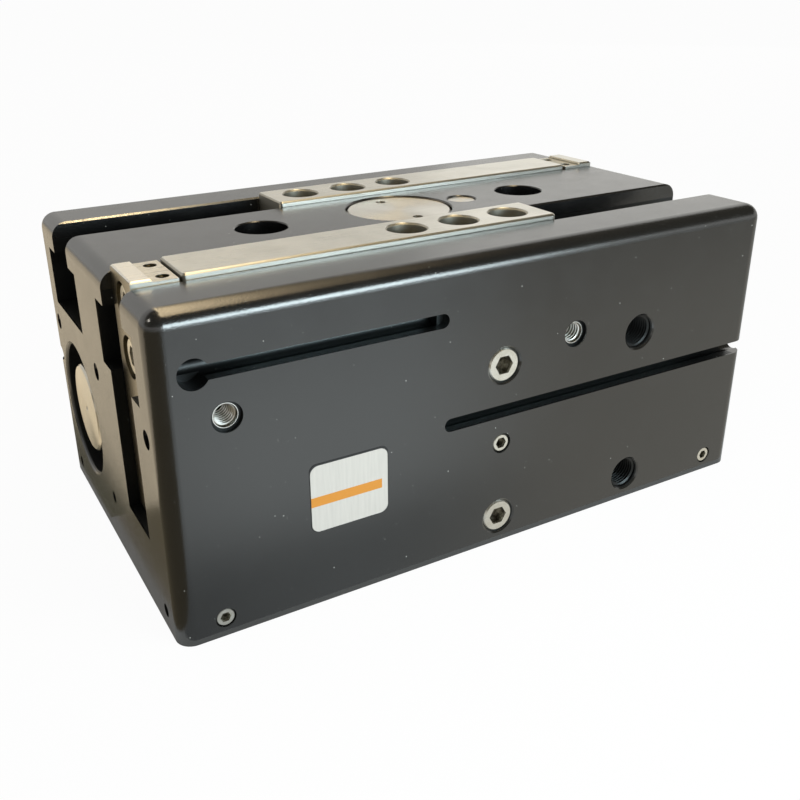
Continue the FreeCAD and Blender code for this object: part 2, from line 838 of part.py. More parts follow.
def build_piston_rod(side, turn):
    """Rod from the drive block to the piston, tapped at one end and with a spigot for the nut."""
    spigot_radius = size.spigot_diameter / 2
    tapped_radius = size.screw_diameter / 2 + size.fit_clearance
    tapped_end = block_back + jaw_screw_reach + size.tapped_hole_spare
    spigot_end = piston_end - size.nut_recess
    turned_on_cylinder(f"{side}_piston_rod", turn, [[
        (block_back, tapped_radius),
        (block_back, rod_radius - size.edge_break),
        (block_back + size.edge_break, rod_radius),
        (piston_start, rod_radius),
        (piston_start, spigot_radius),
        (spigot_end - size.edge_break, spigot_radius),
        (spigot_end, spigot_radius - size.edge_break),
        (spigot_end, 0.0),
        (tapped_end, 0.0),
        (tapped_end, tapped_radius),
    ]])


def build_piston(side, turn):
    """Piston with grooves for two seals and a guide ring, a magnet seat on one face and a nut seat behind."""
    outer = bore_radius - size.piston_clearance
    seal_floor = outer - size.seal_depth
    guide_floor = outer - size.guide_depth
    middle = piston_start + size.piston_length / 2
    guide_start = middle - size.guide_width / 2
    guide_end = middle + size.guide_width / 2
    first_seal = piston_start + size.seal_land
    second_seal = piston_end - size.seal_land - size.seal_width
    magnet_back = piston_start + size.magnet_width
    magnet_inner = size.magnet_inner_diameter / 2
    magnet_outer = size.magnet_outer_diameter / 2
    nut_seat = piston_end - size.nut_recess - size.nut_height
    nut_recess_radius = size.nut_flats / math.sqrt(3) + size.nut_recess_gap
    hole = size.spigot_diameter / 2 + size.fit_clearance
    groove_gap = size.running_clearance
    turned_on_cylinder(f"{side}_piston", turn, [[
        (piston_start, hole),
        (piston_start, magnet_inner - groove_gap),
        (magnet_back, magnet_inner - groove_gap),
        (magnet_back, magnet_outer + groove_gap),
        (piston_start, magnet_outer + groove_gap),
        (piston_start, outer),
        (first_seal, outer),
        (first_seal, seal_floor),
        (first_seal + size.seal_width, seal_floor),
        (first_seal + size.seal_width, outer),
        (guide_start, outer),
        (guide_start, guide_floor),
        (guide_end, guide_floor),
        (guide_end, outer),
        (second_seal, outer),
        (second_seal, seal_floor),
        (second_seal + size.seal_width, seal_floor),
        (second_seal + size.seal_width, outer),
        (piston_end, outer),
        (piston_end, nut_recess_radius),
        (nut_seat, nut_recess_radius),
        (nut_seat, hole),
    ]])

    rim = bore_radius - size.running_clearance
    seals = [
        ring_section(start + groove_gap, start + size.seal_width - groove_gap, seal_floor + groove_gap, rim)
        for start in (first_seal, second_seal)
    ]
    turned_on_cylinder(f"{side}_piston_seals", turn, seals, several=True)
    turned_on_cylinder(f"{side}_guide_ring", turn, [
        ring_section(guide_start + groove_gap, guide_end - groove_gap, guide_floor + groove_gap, rim)
    ])
    turned_on_cylinder(f"{side}_magnet_ring", turn, [
        ring_section(piston_start, magnet_back, magnet_inner, magnet_outer)
    ])
    nut = new_body(f"{side}_piston_nut", turn)
    nut_profile = sketch_on(nut, "YZ_Plane", out=nut_seat)
    hexagon(nut_profile, slot_middle, bore_height, size.nut_flats)
    circle(nut_profile, slot_middle, bore_height, 2 * hole)
    pad(nut, nut_profile, size.nut_height)


def round_ring(label, turn, place):
    """Ring of round section that seals against the bore, with its middle at the given place along X."""
    body = new_body(label, turn)
    sketch = cylinder_sketch(body)
    circle(sketch, place, bore_radius - size.running_clearance - size.ring_section / 2, size.ring_section)
    turn_about(body, sketch, "Revolution")


def ring_groove(place):
    """Corners of the groove in a piece fitted to the bore that takes such a ring."""
    half = size.ring_section / 2 + size.running_clearance
    floor = fitted_radius - size.ring_section - size.running_clearance
    return [
        (place - half, fitted_radius),
        (place - half, floor),
        (place + half, floor),
        (place + half, fitted_radius),
    ]


def build_gland(side, turn):
    """Rod gland against the partition, with its bush, rod seal, o-ring and holding screw."""
    bush_inner = rod_radius + size.running_clearance
    bush_outer = bush_inner + size.bush_wall
    land = rod_radius + size.rod_land_gap
    seal_end = gland_end - size.rod_seal_land
    seal_start = seal_end - size.rod_seal_width
    seal_outer = bush_inner + size.rod_seal_depth
    bush_end = seal_start - size.rod_bush_land
    gap = size.running_clearance
    groove_half = size.gland_screw_point / 2 + size.gland_groove_gap
    ring_place = gland_start + size.gland_ring_place
    turned_on_cylinder(f"{side}_rod_gland", turn, [[
        (gland_start, bush_outer + gap),
        (gland_start, fitted_radius),
        *ring_groove(ring_place),
        (gland_groove_middle - groove_half, fitted_radius),
        (gland_groove_middle - groove_half, fitted_radius - size.gland_groove_depth),
        (gland_groove_middle + groove_half, fitted_radius - size.gland_groove_depth),
        (gland_groove_middle + groove_half, fitted_radius),
        (gland_end, fitted_radius),
        (gland_end, land),
        (seal_end, land),
        (seal_end, seal_outer + gap),
        (seal_start, seal_outer + gap),
        (seal_start, land),
        (bush_end, land),
        (bush_end, bush_outer + gap),
    ]])
    turned_on_cylinder(f"{side}_rod_bush", turn, [
        ring_section(gland_start, bush_end, bush_inner, bush_outer)
    ])
    turned_on_cylinder(f"{side}_rod_seal", turn, [
        ring_section(seal_start + gap, seal_end - gap, bush_inner, seal_outer)
    ])
    round_ring(f"{side}_gland_ring", turn, ring_place)

    screw = new_body(f"{side}_gland_screw", turn)
    shank_length = bore_wall_depth - size.plug_recess
    for diameter, length in (
        (size.gland_screw_diameter - 2 * size.fit_clearance, shank_length),
        (size.gland_screw_point, shank_length + size.gland_screw_reach),
    ):
        section = sketch_on(screw, "XZ_Plane", out=half_width - size.plug_recess)
        circle(section, gland_groove_middle, bore_height, diameter)
        blank = pad(screw, section, length, against_normal=True)
    screw_face = (size.plug_recess - half_width).number
    dress(
        screw, "Chamfer", blank, lambda edge: at_place(edge, "Y", screw_face), "Size", size.gland_screw_break,
    )
    socket = sketch_on(screw, "XZ_Plane", out=half_width - size.plug_recess)
    hexagon(socket, gland_groove_middle, bore_height, size.gland_screw_socket)
    pocket(screw, socket, size.gland_screw_socket_depth)


def build_cap(side, turn):
    """Cylinder cap with its o-ring, retaining ring, turned end stop and rubber buffer."""
    stud = size.stud_diameter / 2
    ring_place = cap_start + size.cap_ring_place
    turned_on_cylinder(f"{side}_cylinder_cap", turn, [[
        (cap_start, stud + size.fit_clearance),
        (cap_start, fitted_radius),
        *ring_groove(ring_place),
        (cap_end, fitted_radius),
        (cap_end, stud + size.fit_clearance),
    ]])
    round_ring(f"{side}_cap_ring", turn, ring_place)

    retainer = new_body(f"{side}_retaining_ring", turn)
    section = cylinder_sketch(retainer)
    outer = groove_radius - size.running_clearance
    inner = outer - size.retainer_width
    outline(section, ring_section(cap_end, cap_end + size.retainer_thickness, inner, outer))
    turn_about(retainer, section, "Revolution", FULL_TURN - size.retainer_opening)

    stop_face = half_length - size.stop_recess
    stop_radius = size.stop_diameter / 2
    stud_end = cap_start - size.buffer_thickness / 2
    turned_on_cylinder(f"{side}_end_stop", turn, [[
        (stud_end, 0.0),
        (stud_end, stud),
        (cap_end, stud),
        (cap_end, stop_radius),
        (stop_face - size.stop_chamfer, stop_radius),
        (stop_face, stop_radius - size.stop_chamfer),
        (stop_face, size.centre_mark),
        (stop_face - size.centre_mark, 0.0),
    ]])
    turned_on_cylinder(f"{side}_stop_buffer", turn, [
        ring_section(buffer_start, cap_start, stud + size.fit_clearance, size.buffer_diameter / 2)
    ])


def build_inserts(side, turn):
    """Two threaded sleeves for mounting the gripper by its side."""
    body = new_body(f"{side}_thread_inserts", turn, several=True)
    section = sketch_on(body, "XZ_Plane", out=half_width - size.insert_seat_depth)
    for place in insert_places:
        circle(section, place, insert_height, size.insert_diameter - 2 * size.fit_clearance)
        circle(section, place, insert_height, size.insert_bore)
    pad(body, section, insert_hole_depth - size.insert_seat_depth, against_normal=True)


for side, turn in (("near", 0.0), ("far", HALF_TURN)):
    build_jaw(side, turn)
    build_drive_block(side, turn)
    build_block_screws(side, turn)
    build_piston_rod(side, turn)
    build_piston(side, turn)
    build_gland(side, turn)
    build_cap(side, turn)
    build_inserts(side, turn)


def socket_plugs(label, places, diameter, length, flats, socket_depth):
    """Headless screws with hexagon sockets, sunk a little below the front face at each (X, Z) place."""
    body = new_body(label, several=True)
    shanks = sketch_on(body, "XZ_Plane", out=half_width - size.plug_recess)
    sockets = sketch_on(body, "XZ_Plane", out=half_width - size.plug_recess)
    for right, up in places:
        circle(shanks, right, up, diameter - 2 * size.fit_clearance)
        hexagon(sockets, right, up, flats)
    blanks = pad(body, shanks, length, against_normal=True)
    face = (size.plug_recess - half_width).number
    dress(body, "Chamfer", blanks, lambda edge: at_place(edge, "Y", face), "Size", size.plug_break)
    pocket(body, sockets, socket_depth)


socket_plugs(
    "port_plugs", [(linked(0.0), height) for height in port_heights],
    size.port_diameter, size.plug_length, size.plug_socket, size.plug_socket_depth,
)
socket_plugs(
    "gallery_plugs",
    [(place, size.gallery_plug_height) for place in gallery_places],
    size.gallery_plug_diameter, size.gallery_plug_length, size.gallery_plug_socket,
    size.gallery_plug_socket_depth,
)


def turned_upright(label, corners):
    """A piece turned about the upright axis in the middle, from (radius, height) corners."""
    body = new_body(label)
    sketch = sketch_on(body, "XZ_Plane")
    outline(sketch, corners)
    turn_about(body, sketch, "Revolution", axis="V_Axis")
    return body


# Plain bushes with a collar, below and above the pinion
bush_inner = journal_radius + size.running_clearance
bush_outer = pinion_bush_radius - size.fit_clearance
collar_radius = rack_tip - size.pinion_collar_gap
lower_bush_bottom = channel_floor - size.pinion_bush_length
turned_upright("lower_pinion_bush", [
    (bush_inner, lower_bush_bottom),
    (bush_outer, lower_bush_bottom),
    (bush_outer, channel_floor),
    (collar_radius, channel_floor),
    (collar_radius, channel_floor + size.pinion_collar_height),
    (bush_inner, channel_floor + size.pinion_collar_height),
])
upper_bush_top = cover_hub_bottom + size.pinion_cover_bush_length
turned_upright("upper_pinion_bush", [
    (bush_inner, cover_hub_bottom - size.pinion_collar_height),
    (collar_radius, cover_hub_bottom - size.pinion_collar_height),
    (collar_radius, cover_hub_bottom),
    (bush_outer, cover_hub_bottom),
    (bush_outer, upper_bush_top),
    (bush_inner, upper_bush_top),
])

# Cover that carries the upper bush, with two holes for a face spanner
cover_radius = size.cover_diameter / 2
cover_hub_radius = pinion_hole_radius - size.cover_hub_gap
cover = turned_upright("pinion_cover", [
    (pinion_bush_radius, cover_hub_bottom),
    (cover_hub_radius, cover_hub_bottom),
    (cover_hub_radius, cover_underside),
    (cover_radius, cover_underside),
    (cover_radius, cover_top - size.edge_break),
    (cover_radius - size.edge_break, cover_top),
    (linked(0.0), cover_top),
    (linked(0.0), upper_bush_top),
    (pinion_bush_radius, upper_bush_top),
])
spanner_holes = sketch_on(cover, "XY_Plane", out=cover_top)
for across in (-size.cover_pin_spacing / 2, size.cover_pin_spacing / 2):
    circle(spanner_holes, 0.0, across, size.cover_pin_diameter)
pocket(cover, spanner_holes, size.cover_pin_depth)

top_plug = new_body("top_plug")
plug_section = sketch_on(top_plug, "XY_Plane", out=housing_height - size.top_plug_recess)
circle(plug_section, top_plug_place, 0.0, size.top_plug_diameter - 2 * size.fit_clearance)
plug_blank = pad(top_plug, plug_section, size.top_plug_length, against_normal=True)
dress(
    top_plug, "Chamfer", plug_blank,
    lambda edge: at_height(edge, (housing_height - size.top_plug_recess).number), "Size", size.edge_break / 2,
)


def involute(angle):
    return math.tan(angle) - angle


def gear_face():
    """The pinion's cross-section: involute flanks, with a tooth pointing straight at each rack."""
    pressure = math.radians(size.pressure_angle.number)
    teeth = 2 * round(size.gear_tooth_pairs.number)
    pitch = pitch_radius.number
    base = pitch * math.cos(pressure)
    root = pitch - size.gear_module.number * size.tooth_root_share.number
    tip = tip_radius.number
    backlash_angle = size.gear_backlash.number / (4 * pitch)
    half_tooth = math.pi / (2 * teeth) + involute(pressure) - backlash_angle

    def corner(radius, angle):
        return FreeCAD.Vector(radius * math.cos(angle), radius * math.sin(angle), 0)

    def flank(radius):
        """Half of the tooth's angle at this radius."""
        return half_tooth - involute(math.acos(min(1.0, base / radius)))

    middle = (base + tip) / 2
    step = 2 * math.pi / teeth
    edges = []
    for index in range(teeth):
        centre = index * step - math.pi / 2
        feet = [corner(root, centre + side * flank(base)) for side in (-1, 1)]
        bases = [corner(base, centre + side * flank(base)) for side in (-1, 1)]
        middles = [corner(middle, centre + side * flank(middle)) for side in (-1, 1)]
        tips = [corner(tip, centre + side * flank(tip)) for side in (-1, 1)]
        next_foot = corner(root, centre + step - flank(base))
        edges += [
            Part.LineSegment(feet[0], bases[0]),
            Part.Arc(bases[0], middles[0], tips[0]),
            Part.Arc(tips[0], corner(tip, centre), tips[1]),
            Part.Arc(tips[1], middles[1], bases[1]),
            Part.LineSegment(bases[1], feet[1]),
            Part.Arc(feet[1], corner(root, centre + step / 2), next_foot),
        ]
    return Part.Face(Part.Wire([edge.toShape() for edge in edges]))


# Pinion: the toothed wheel between two journals
toothed_wheel = doc.addObject("Part::Feature", "toothed_wheel")
toothed_wheel.Shape = gear_face().extrude(FreeCAD.Vector(0, 0, (gear_top - gear_bottom).number))
bind(toothed_wheel, "Placement.Base.z", gear_bottom)
journals = []
for name, bottom, top in (
    ("lower_journal", lower_bush_bottom, gear_bottom),
    ("upper_journal", gear_top, upper_bush_top - size.pinion_end_gap),
):
    journal = doc.addObject("Part::Cylinder", name)
    bind(journal, "Radius", journal_radius)
    bind(journal, "Height", top - bottom)
    bind(journal, "Placement.Base.z", bottom)
    journals.append(journal)
pinion = doc.addObject("Part::MultiFuse", "pinion")
pinion.Label = "pinion"
pinion.Shapes = [toothed_wheel, *journals]
pieces.append(pinion)

# Blank foil label with rounded corners
label = new_body("rating_label")
label_outline = front_sketch(label)
rectangle(
    label_outline, -size.label_left, size.label_bottom,
    size.label_width - size.label_left, size.label_bottom + size.label_height,
)
foil = pad(label, label_outline, size.label_thickness)
dress(
    label, "Fillet", foil,
    lambda edge: abs(edge.BoundBox.YLength - edge.Length) < SAME_PLACE, "Radius", size.label_round,
)

doc.recompute()
for thing in doc.Objects:
    if "Invalid" in thing.State or "Error" in thing.State:
        raise RuntimeError(f"{thing.Label} failed: {thing.State}")
for piece in pieces:
    if piece.Shape.isNull() or not piece.Shape.isValid():
        raise RuntimeError(f"{piece.Label} has no valid shape")

os.makedirs("parts", exist_ok=True)
for piece in pieces:
    piece.Shape.exportStep(f"parts/{piece.Label}.step")
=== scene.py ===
import math

import bmesh
import bpy
from mathutils import Matrix, Vector


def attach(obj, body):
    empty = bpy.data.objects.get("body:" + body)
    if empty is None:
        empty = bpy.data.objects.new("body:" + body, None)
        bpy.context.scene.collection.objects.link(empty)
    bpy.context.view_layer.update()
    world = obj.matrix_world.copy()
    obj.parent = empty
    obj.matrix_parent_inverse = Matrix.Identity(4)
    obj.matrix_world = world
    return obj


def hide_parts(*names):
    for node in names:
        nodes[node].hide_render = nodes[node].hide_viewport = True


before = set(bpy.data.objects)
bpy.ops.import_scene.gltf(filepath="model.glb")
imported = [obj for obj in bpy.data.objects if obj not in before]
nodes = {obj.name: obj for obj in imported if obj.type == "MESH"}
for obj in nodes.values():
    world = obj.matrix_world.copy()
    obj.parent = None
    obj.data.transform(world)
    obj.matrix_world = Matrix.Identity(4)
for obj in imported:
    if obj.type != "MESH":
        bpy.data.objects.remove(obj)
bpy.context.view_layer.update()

# Studio: a white floor that keeps a soft shadow, under a white surround, with soft lamps in front, over the
# floor and behind, and cards that only gloss shows. The camera stands where the photograph was taken from,
# found from the block's edges and holes.
MM = 0.001
WHITE = (1, 1, 1)


def add_node(tree, kind, inputs=None, **settings):
    """A node with its settings, whose inputs are plain values or the sockets to link them to."""
    made = tree.nodes.new(kind)
    for name, value in settings.items():
        setattr(made, name, value)
    for socket, value in (inputs or {}).items():
        if isinstance(value, bpy.types.NodeSocket):
            tree.links.new(value, made.inputs[socket])
        else:
            made.inputs[socket].default_value = value
    return made


def worked(tree, operation, *values):
    """The result of a sum on numbers or sockets."""
    return add_node(tree, "ShaderNodeMath", dict(enumerate(values)), operation=operation).outputs[0]


def own_place(tree):
    """The place of a point in the piece's own coordinates."""
    return add_node(tree, "ShaderNodeTexCoord").outputs["Object"]


def along(tree, where, axis):
    """How far a place lies along an axis."""
    return add_node(tree, "ShaderNodeSeparateXYZ", {"Vector": where}).outputs[axis]


def by_ray(tree, to_camera, to_gloss, to_light):
    """A number for the camera's rays, one for rays from gloss or glass and one for all other rays."""
    path = add_node(tree, "ShaderNodeLightPath").outputs
    shiny = worked(tree, "MAXIMUM", path["Is Glossy Ray"], path["Is Transmission Ray"])
    unseen = worked(tree, "MULTIPLY_ADD", shiny, to_gloss - to_light, to_light)
    return worked(tree, "MULTIPLY_ADD", path["Is Camera Ray"], to_camera - to_light, unseen)


def spread(tree, value, low, high, to_low, to_high, ease="LINEAR"):
    """The value stretched from one range to another and held inside it."""
    return add_node(tree, "ShaderNodeMapRange", {
        "Value": value, "From Min": low, "From Max": high, "To Min": to_low, "To Max": to_high,
    }, interpolation_type=ease).outputs[0]


def mixed(tree, share, first, second):
    """A colour between two, which are colours or sockets."""
    made = add_node(tree, "ShaderNodeMix", {"Factor": share}, data_type="RGBA")
    for socket, colour in ((6, first), (7, second)):
        if isinstance(colour, bpy.types.NodeSocket):
            tree.links.new(colour, made.inputs[socket])
        else:
            made.inputs[socket].default_value = (*colour, 1.0)
    return made.outputs[2]


SURROUND_TINT = (1.0, 0.985, 0.94)
surround = bpy.data.worlds.new("white_surround")
surround.use_nodes = True
surround_tree = surround.node_tree
surround_tree.nodes.clear()
seen = add_node(surround_tree, "ShaderNodeLightPath").outputs["Is Camera Ray"]
backdrop = add_node(surround_tree, "ShaderNodeBackground", {
    "Color": mixed(surround_tree, seen, SURROUND_TINT, WHITE),
    "Strength": by_ray(surround_tree, to_camera=1.0, to_gloss=0.74, to_light=0.4),
})
add_node(surround_tree, "ShaderNodeOutputWorld", {"Surface": backdrop.outputs[0]})
scene = bpy.context.scene
scene.world = surround
scene.view_settings.view_transform = "Standard"


def laid_plane(name, low, high, height):
    """A level sheet of the studio between two corners."""
    middle = ((low[0] + high[0]) / 2, (low[1] + high[1]) / 2, height)
    bpy.ops.object.select_all(action="DESELECT")
    bpy.ops.mesh.primitive_plane_add(size=1.0, location=middle)
    sheet = bpy.context.object
    sheet.name = name
    bpy.ops.transform.resize(value=(high[0] - low[0], high[1] - low[1], 1.0))
    bpy.ops.object.transform_apply(location=True, rotation=True, scale=True)
    return sheet


FLOOR_REACH = 15.0
floor = laid_plane("studio_floor", (-FLOOR_REACH, -FLOOR_REACH), (FLOOR_REACH, FLOOR_REACH), 0.0)
floor_paint = bpy.data.materials.new("white_floor")
floor_paint.use_nodes = True
floor_tree = floor_paint.node_tree
floor_tree.nodes.clear()
matt = add_node(floor_tree, "ShaderNodeBsdfDiffuse", {"Color": (0.9, 0.9, 0.9, 1)})
glow = add_node(floor_tree, "ShaderNodeEmission", {"Color": (*WHITE, 1), "Strength": 1.0})
floor_glow = by_ray(floor_tree, to_camera=0.96, to_gloss=0.05, to_light=0.0)
shown = add_node(floor_tree, "ShaderNodeMixShader", {0: floor_glow, 1: matt.outputs[0], 2: glow.outputs[0]})
add_node(floor_tree, "ShaderNodeOutputMaterial", {"Surface": shown.outputs[0]})
floor.data.materials.append(floor_paint)


def gloss_card(name, low, high, height, colour):
    """A coloured sheet that only shows in gloss: it neither lights nor shades anything else."""
    sheet = laid_plane(name, low, high, height)
    tint = bpy.data.materials.new(name)
    tint.use_nodes = True
    tint.node_tree.nodes.clear()
    shine = add_node(tint.node_tree, "ShaderNodeEmission", {"Color": (*colour, 1), "Strength": 1.0})
    add_node(tint.node_tree, "ShaderNodeOutputMaterial", {"Surface": shine.outputs[0]})
    sheet.data.materials.append(tint)
    sheet.visible_camera = False
    sheet.visible_diffuse = False
    sheet.visible_shadow = False
    return tint.node_tree, shine


CARD_HEIGHT = 0.0015
CEILING_HEIGHT = 1.1
gloss_card("dark_bench", (-1.2, -1.2), (-0.098, 0.012), CARD_HEIGHT, (0.2, 0.17, 0.11))
# A painted shadow: a dark strip on the ground along the block's left foot, seen only in gloss.
gloss_card("left_foot_shadow", (-0.105, 0.012), (-0.0955, 0.3), CARD_HEIGHT, (0.15, 0.14, 0.1))
gloss_card("warm_boards", (-0.8, 0.012), (-0.105, 1.2), CARD_HEIGHT, (1.0, 0.85, 0.62))
gloss_card("dim_ceiling", (-7.0, -4.5), (3.0, 0.55), CEILING_HEIGHT, (0.12, 0.11, 0.085))

# The warm lamp overhead is brightest to the left and fades to the right. It shines in the rounded front edge
# and in the edges of the slots.
LAMP_HEIGHT = 1.05
LAMP_COLOUR = (1.0, 0.8, 0.5)
lamp_tree, lamp_shine = gloss_card("ceiling_lamp", (0.06, -0.5), (0.62, 1.25), LAMP_HEIGHT, LAMP_COLOUR)
lamp_right = along(lamp_tree, own_place(lamp_tree), "X")
near_level = spread(lamp_tree, lamp_right, 0.13, 0.28, 7.5, 0.0, "SMOOTHSTEP")
wide_level = spread(lamp_tree, lamp_right, 0.2, 0.6, 1.3, 0.15)
lamp_tree.links.new(worked(lamp_tree, "ADD", near_level, wide_level), lamp_shine.inputs["Strength"])

# The ground before the block, which its front shows: pale and cool, dimmer and warmer to the right, falling
# off to the left and far out, with a painted shadow by the block's foot.
GROUND_HEIGHT = 0.0012
GROUND_COOL = (0.98, 1.04, 1.04)
GROUND_WARM = (0.65, 0.63, 0.56)
DARK = (0, 0, 0)
SIGHT_SLANT = 0.71
ground_tree, ground_shine = gloss_card("ground_before", (-0.098, -0.9), (1.2, -0.056), GROUND_HEIGHT, WHITE)
ground_place = own_place(ground_tree)
ground_x = along(ground_tree, ground_place, "X")
ground_y = along(ground_tree, ground_place, "Y")
rightwards = worked(ground_tree, "MULTIPLY_ADD", ground_y, SIGHT_SLANT, ground_x)
to_right = spread(ground_tree, rightwards, -0.09, 0.0, 0.0, 1.0, "SMOOTHSTEP")
to_left = spread(ground_tree, ground_x, -0.1, -0.045, 0.3, 0.0, "SMOOTHSTEP")
# Painted shadow on the ground close to the block's foot.
foot_shadow = spread(ground_tree, ground_y, -0.115, -0.07, 0.0, 0.52, "SMOOTHSTEP")
far_out = spread(ground_tree, ground_y, -0.3, -0.15, 0.34, 0.0, "SMOOTHSTEP")
ground_tone = GROUND_COOL
for fall, tone in ((foot_shadow, DARK), (to_left, DARK), (to_right, GROUND_WARM), (far_out, DARK)):
    ground_tone = mixed(ground_tree, fall, ground_tone, tone)
ground_tree.links.new(ground_tone, ground_shine.inputs["Color"])


def soft_lamp(name, place, aim, width, height, level, colour, in_gloss=True):
    """A rectangular soft lamp. Its level is how much brighter than white it looks in a mirror."""
    lamp = bpy.data.lights.new(name, "AREA")
    lamp.shape = "RECTANGLE"
    lamp.size = width
    lamp.size_y = height
    lamp.energy = level * math.pi * width * height
    lamp.color = colour
    holder = bpy.data.objects.new(name, lamp)
    holder.location = place
    holder.rotation_euler = (Vector(aim) - Vector(place)).to_track_quat("-Z", "Y").to_euler()
    holder.visible_camera = False
    holder.visible_glossy = in_gloss
    scene.collection.objects.link(holder)


MIDDLE = (0.0, 0.0, 0.045)
soft_lamp("front_window", (0.5, -1.5, 0.3), (0.0, 0.0, 0.08), width=0.9, height=0.5, level=11.0,
          colour=(0.8, 0.95, 1.0))
soft_lamp("over_floor", (0.02, -0.17, 0.24), (0.02, -0.16, 0.0), width=0.12, height=0.1, level=10.0,
          colour=(0.92, 1.0, 1.0), in_gloss=False)
soft_lamp("behind", (1.5, 1.05, 0.65), MIDDLE, width=1.5, height=1.2, level=0.38, colour=(1.0, 0.99, 0.94))
soft_lamp("far_bulb", (-1.2, -0.16, 1.04), MIDDLE, width=0.12, height=0.12, level=35.0,
          colour=(1.0, 0.95, 0.85))

CAMERA_TURN = (66.7385, 0.7546, -29.4267)
camera = bpy.data.cameras.new("photograph_view")
camera.sensor_width = 36.0
camera.lens = 41.534
camera.shift_x = 0.02778
camera.shift_y = -0.03406
camera.clip_start = 0.01
viewpoint = bpy.data.objects.new("photograph_view", camera)
viewpoint.location = (-0.14024, -0.23746, 0.15126)
viewpoint.rotation_euler = [math.radians(turn) for turn in CAMERA_TURN]
scene.collection.objects.link(viewpoint)
scene.camera = viewpoint


# Housing: one block of aluminium, milled, its edges rounded, then hard anodised satin black all over, slots
# and bores too. The skin has a fine grain, a little dust and a few nicks. It is worn off along the outer
# edge of each slot and rougher inside, where its reflection is dimmed as painted shade, least in the
# sensor slots.
PER_MM = 1000.0
SKIN_BLACK = (0.0028, 0.003, 0.0033)
SKIN_CLOUD = (0.0045, 0.0045, 0.0045)
DUST_GREY = (0.3, 0.3, 0.28)
NICK_GREY = (0.12, 0.12, 0.11)
BARE_EDGE = (0.39, 0.37, 0.32)
# Painted shade: the share of their reflection that the inner faces and the sensor slots keep.
INNER_PAINTED_SHADE = (0.32, 0.34, 0.35)
SENSOR_SLOT_PAINTED_SHADE = (0.85, 0.97, 1.0)
INNER_ROUGHNESS = 0.36
SKIN_IOR = 1.9
SLOT_OFFSET = -27.75
SLOT_HALF = 8.8
SLOT_EDGE = 86.4
EDGE_OUT = 0.25
EDGE_WEAR = 0.35
WEAR_BEGINS = 35.0
WEAR_FULL = 75.0
INNER_LENGTH = 90.4
INNER_WIDTH = 55.1
INNER_TOP = 82.4
END_LENGTH = 94.6
END_BAND = 20.2
JAW_SENSOR_HEIGHT = 71.5
PISTON_SENSOR_HEIGHT = 41.7
SENSOR_SLOT_HALF = 2.7
SENSOR_SLOT_CLEAR = 68.0
SENSOR_SLOT_REACH = 81.0
SENSOR_SLOT_FLOOR = 46.0


def new_finish(name):
    """A material with its node tree, main shader and the piece's own coordinates."""
    finish = bpy.data.materials.new(name)
    finish.use_nodes = True
    tree = finish.node_tree
    where = own_place(tree)
    return finish, tree, tree.nodes["Principled BSDF"], where


def noise(tree, where, per_mm, detail=3.0, crowding=(1, 1, 1)):
    """Smooth noise with so many waves to the millimetre, and fewer along an axis crowded below one."""
    scale = [crowd * per_mm * PER_MM for crowd in crowding]
    laid = add_node(tree, "ShaderNodeMapping", {"Vector": where, "Scale": scale}).outputs[0]
    return add_node(tree, "ShaderNodeTexNoise", {"Vector": laid, "Scale": 1.0, "Detail": detail}).outputs[0]


def specks(tree, where, apart_mm, radius_mm, share, turn=(0, 0, 0), longer=(1, 1, 1)):
    """A mask of specks in a share of the cells, each of its own size, drawn out to scratches if longer."""
    scale = [PER_MM / apart_mm / long for long in longer]
    laid = add_node(tree, "ShaderNodeMapping", {
        "Vector": where, "Rotation": turn, "Scale": scale,
    }).outputs[0]
    cells = add_node(tree, "ShaderNodeTexVoronoi", {"Vector": laid, "Scale": 1.0}).outputs
    chance = add_node(tree, "ShaderNodeSeparateColor", {"Color": cells["Color"]}).outputs[0]
    size = spread(tree, chance, 1.0 - share, 1.0, 0.0, radius_mm / apart_mm)
    return worked(tree, "LESS_THAN", cells["Distance"], size)


def relief(tree, shader, height, strength, depth_mm):
    """Fine relief from a height, at a true depth."""
    bump = add_node(tree, "ShaderNodeBump", {
        "Height": height, "Strength": strength, "Distance": depth_mm * MM,
    })
    tree.links.new(bump.outputs[0], shader.inputs["Normal"])


def reach(tree, where, axis, limit_mm, inside=True, centre_mm=0.0):
    """One where a place is within so far of a centre along an axis, or else beyond it, on either side."""
    from_middle = worked(tree, "ABSOLUTE", along(tree, where, axis))
    span = worked(tree, "ABSOLUTE", worked(tree, "SUBTRACT", from_middle, centre_mm * MM))
    return worked(tree, "LESS_THAN" if inside else "GREATER_THAN", span, limit_mm * MM)


def all_of(tree, *masks):
    """One where every mask is one."""
    whole = masks[0]
    for mask in masks[1:]:
        whole = worked(tree, "MULTIPLY", whole, mask)
    return whole


def any_of(tree, *masks):
    """The highest of some masks or values."""
    whole = masks[0]
    for mask in masks[1:]:
        whole = worked(tree, "MAXIMUM", whole, mask)
    return whole


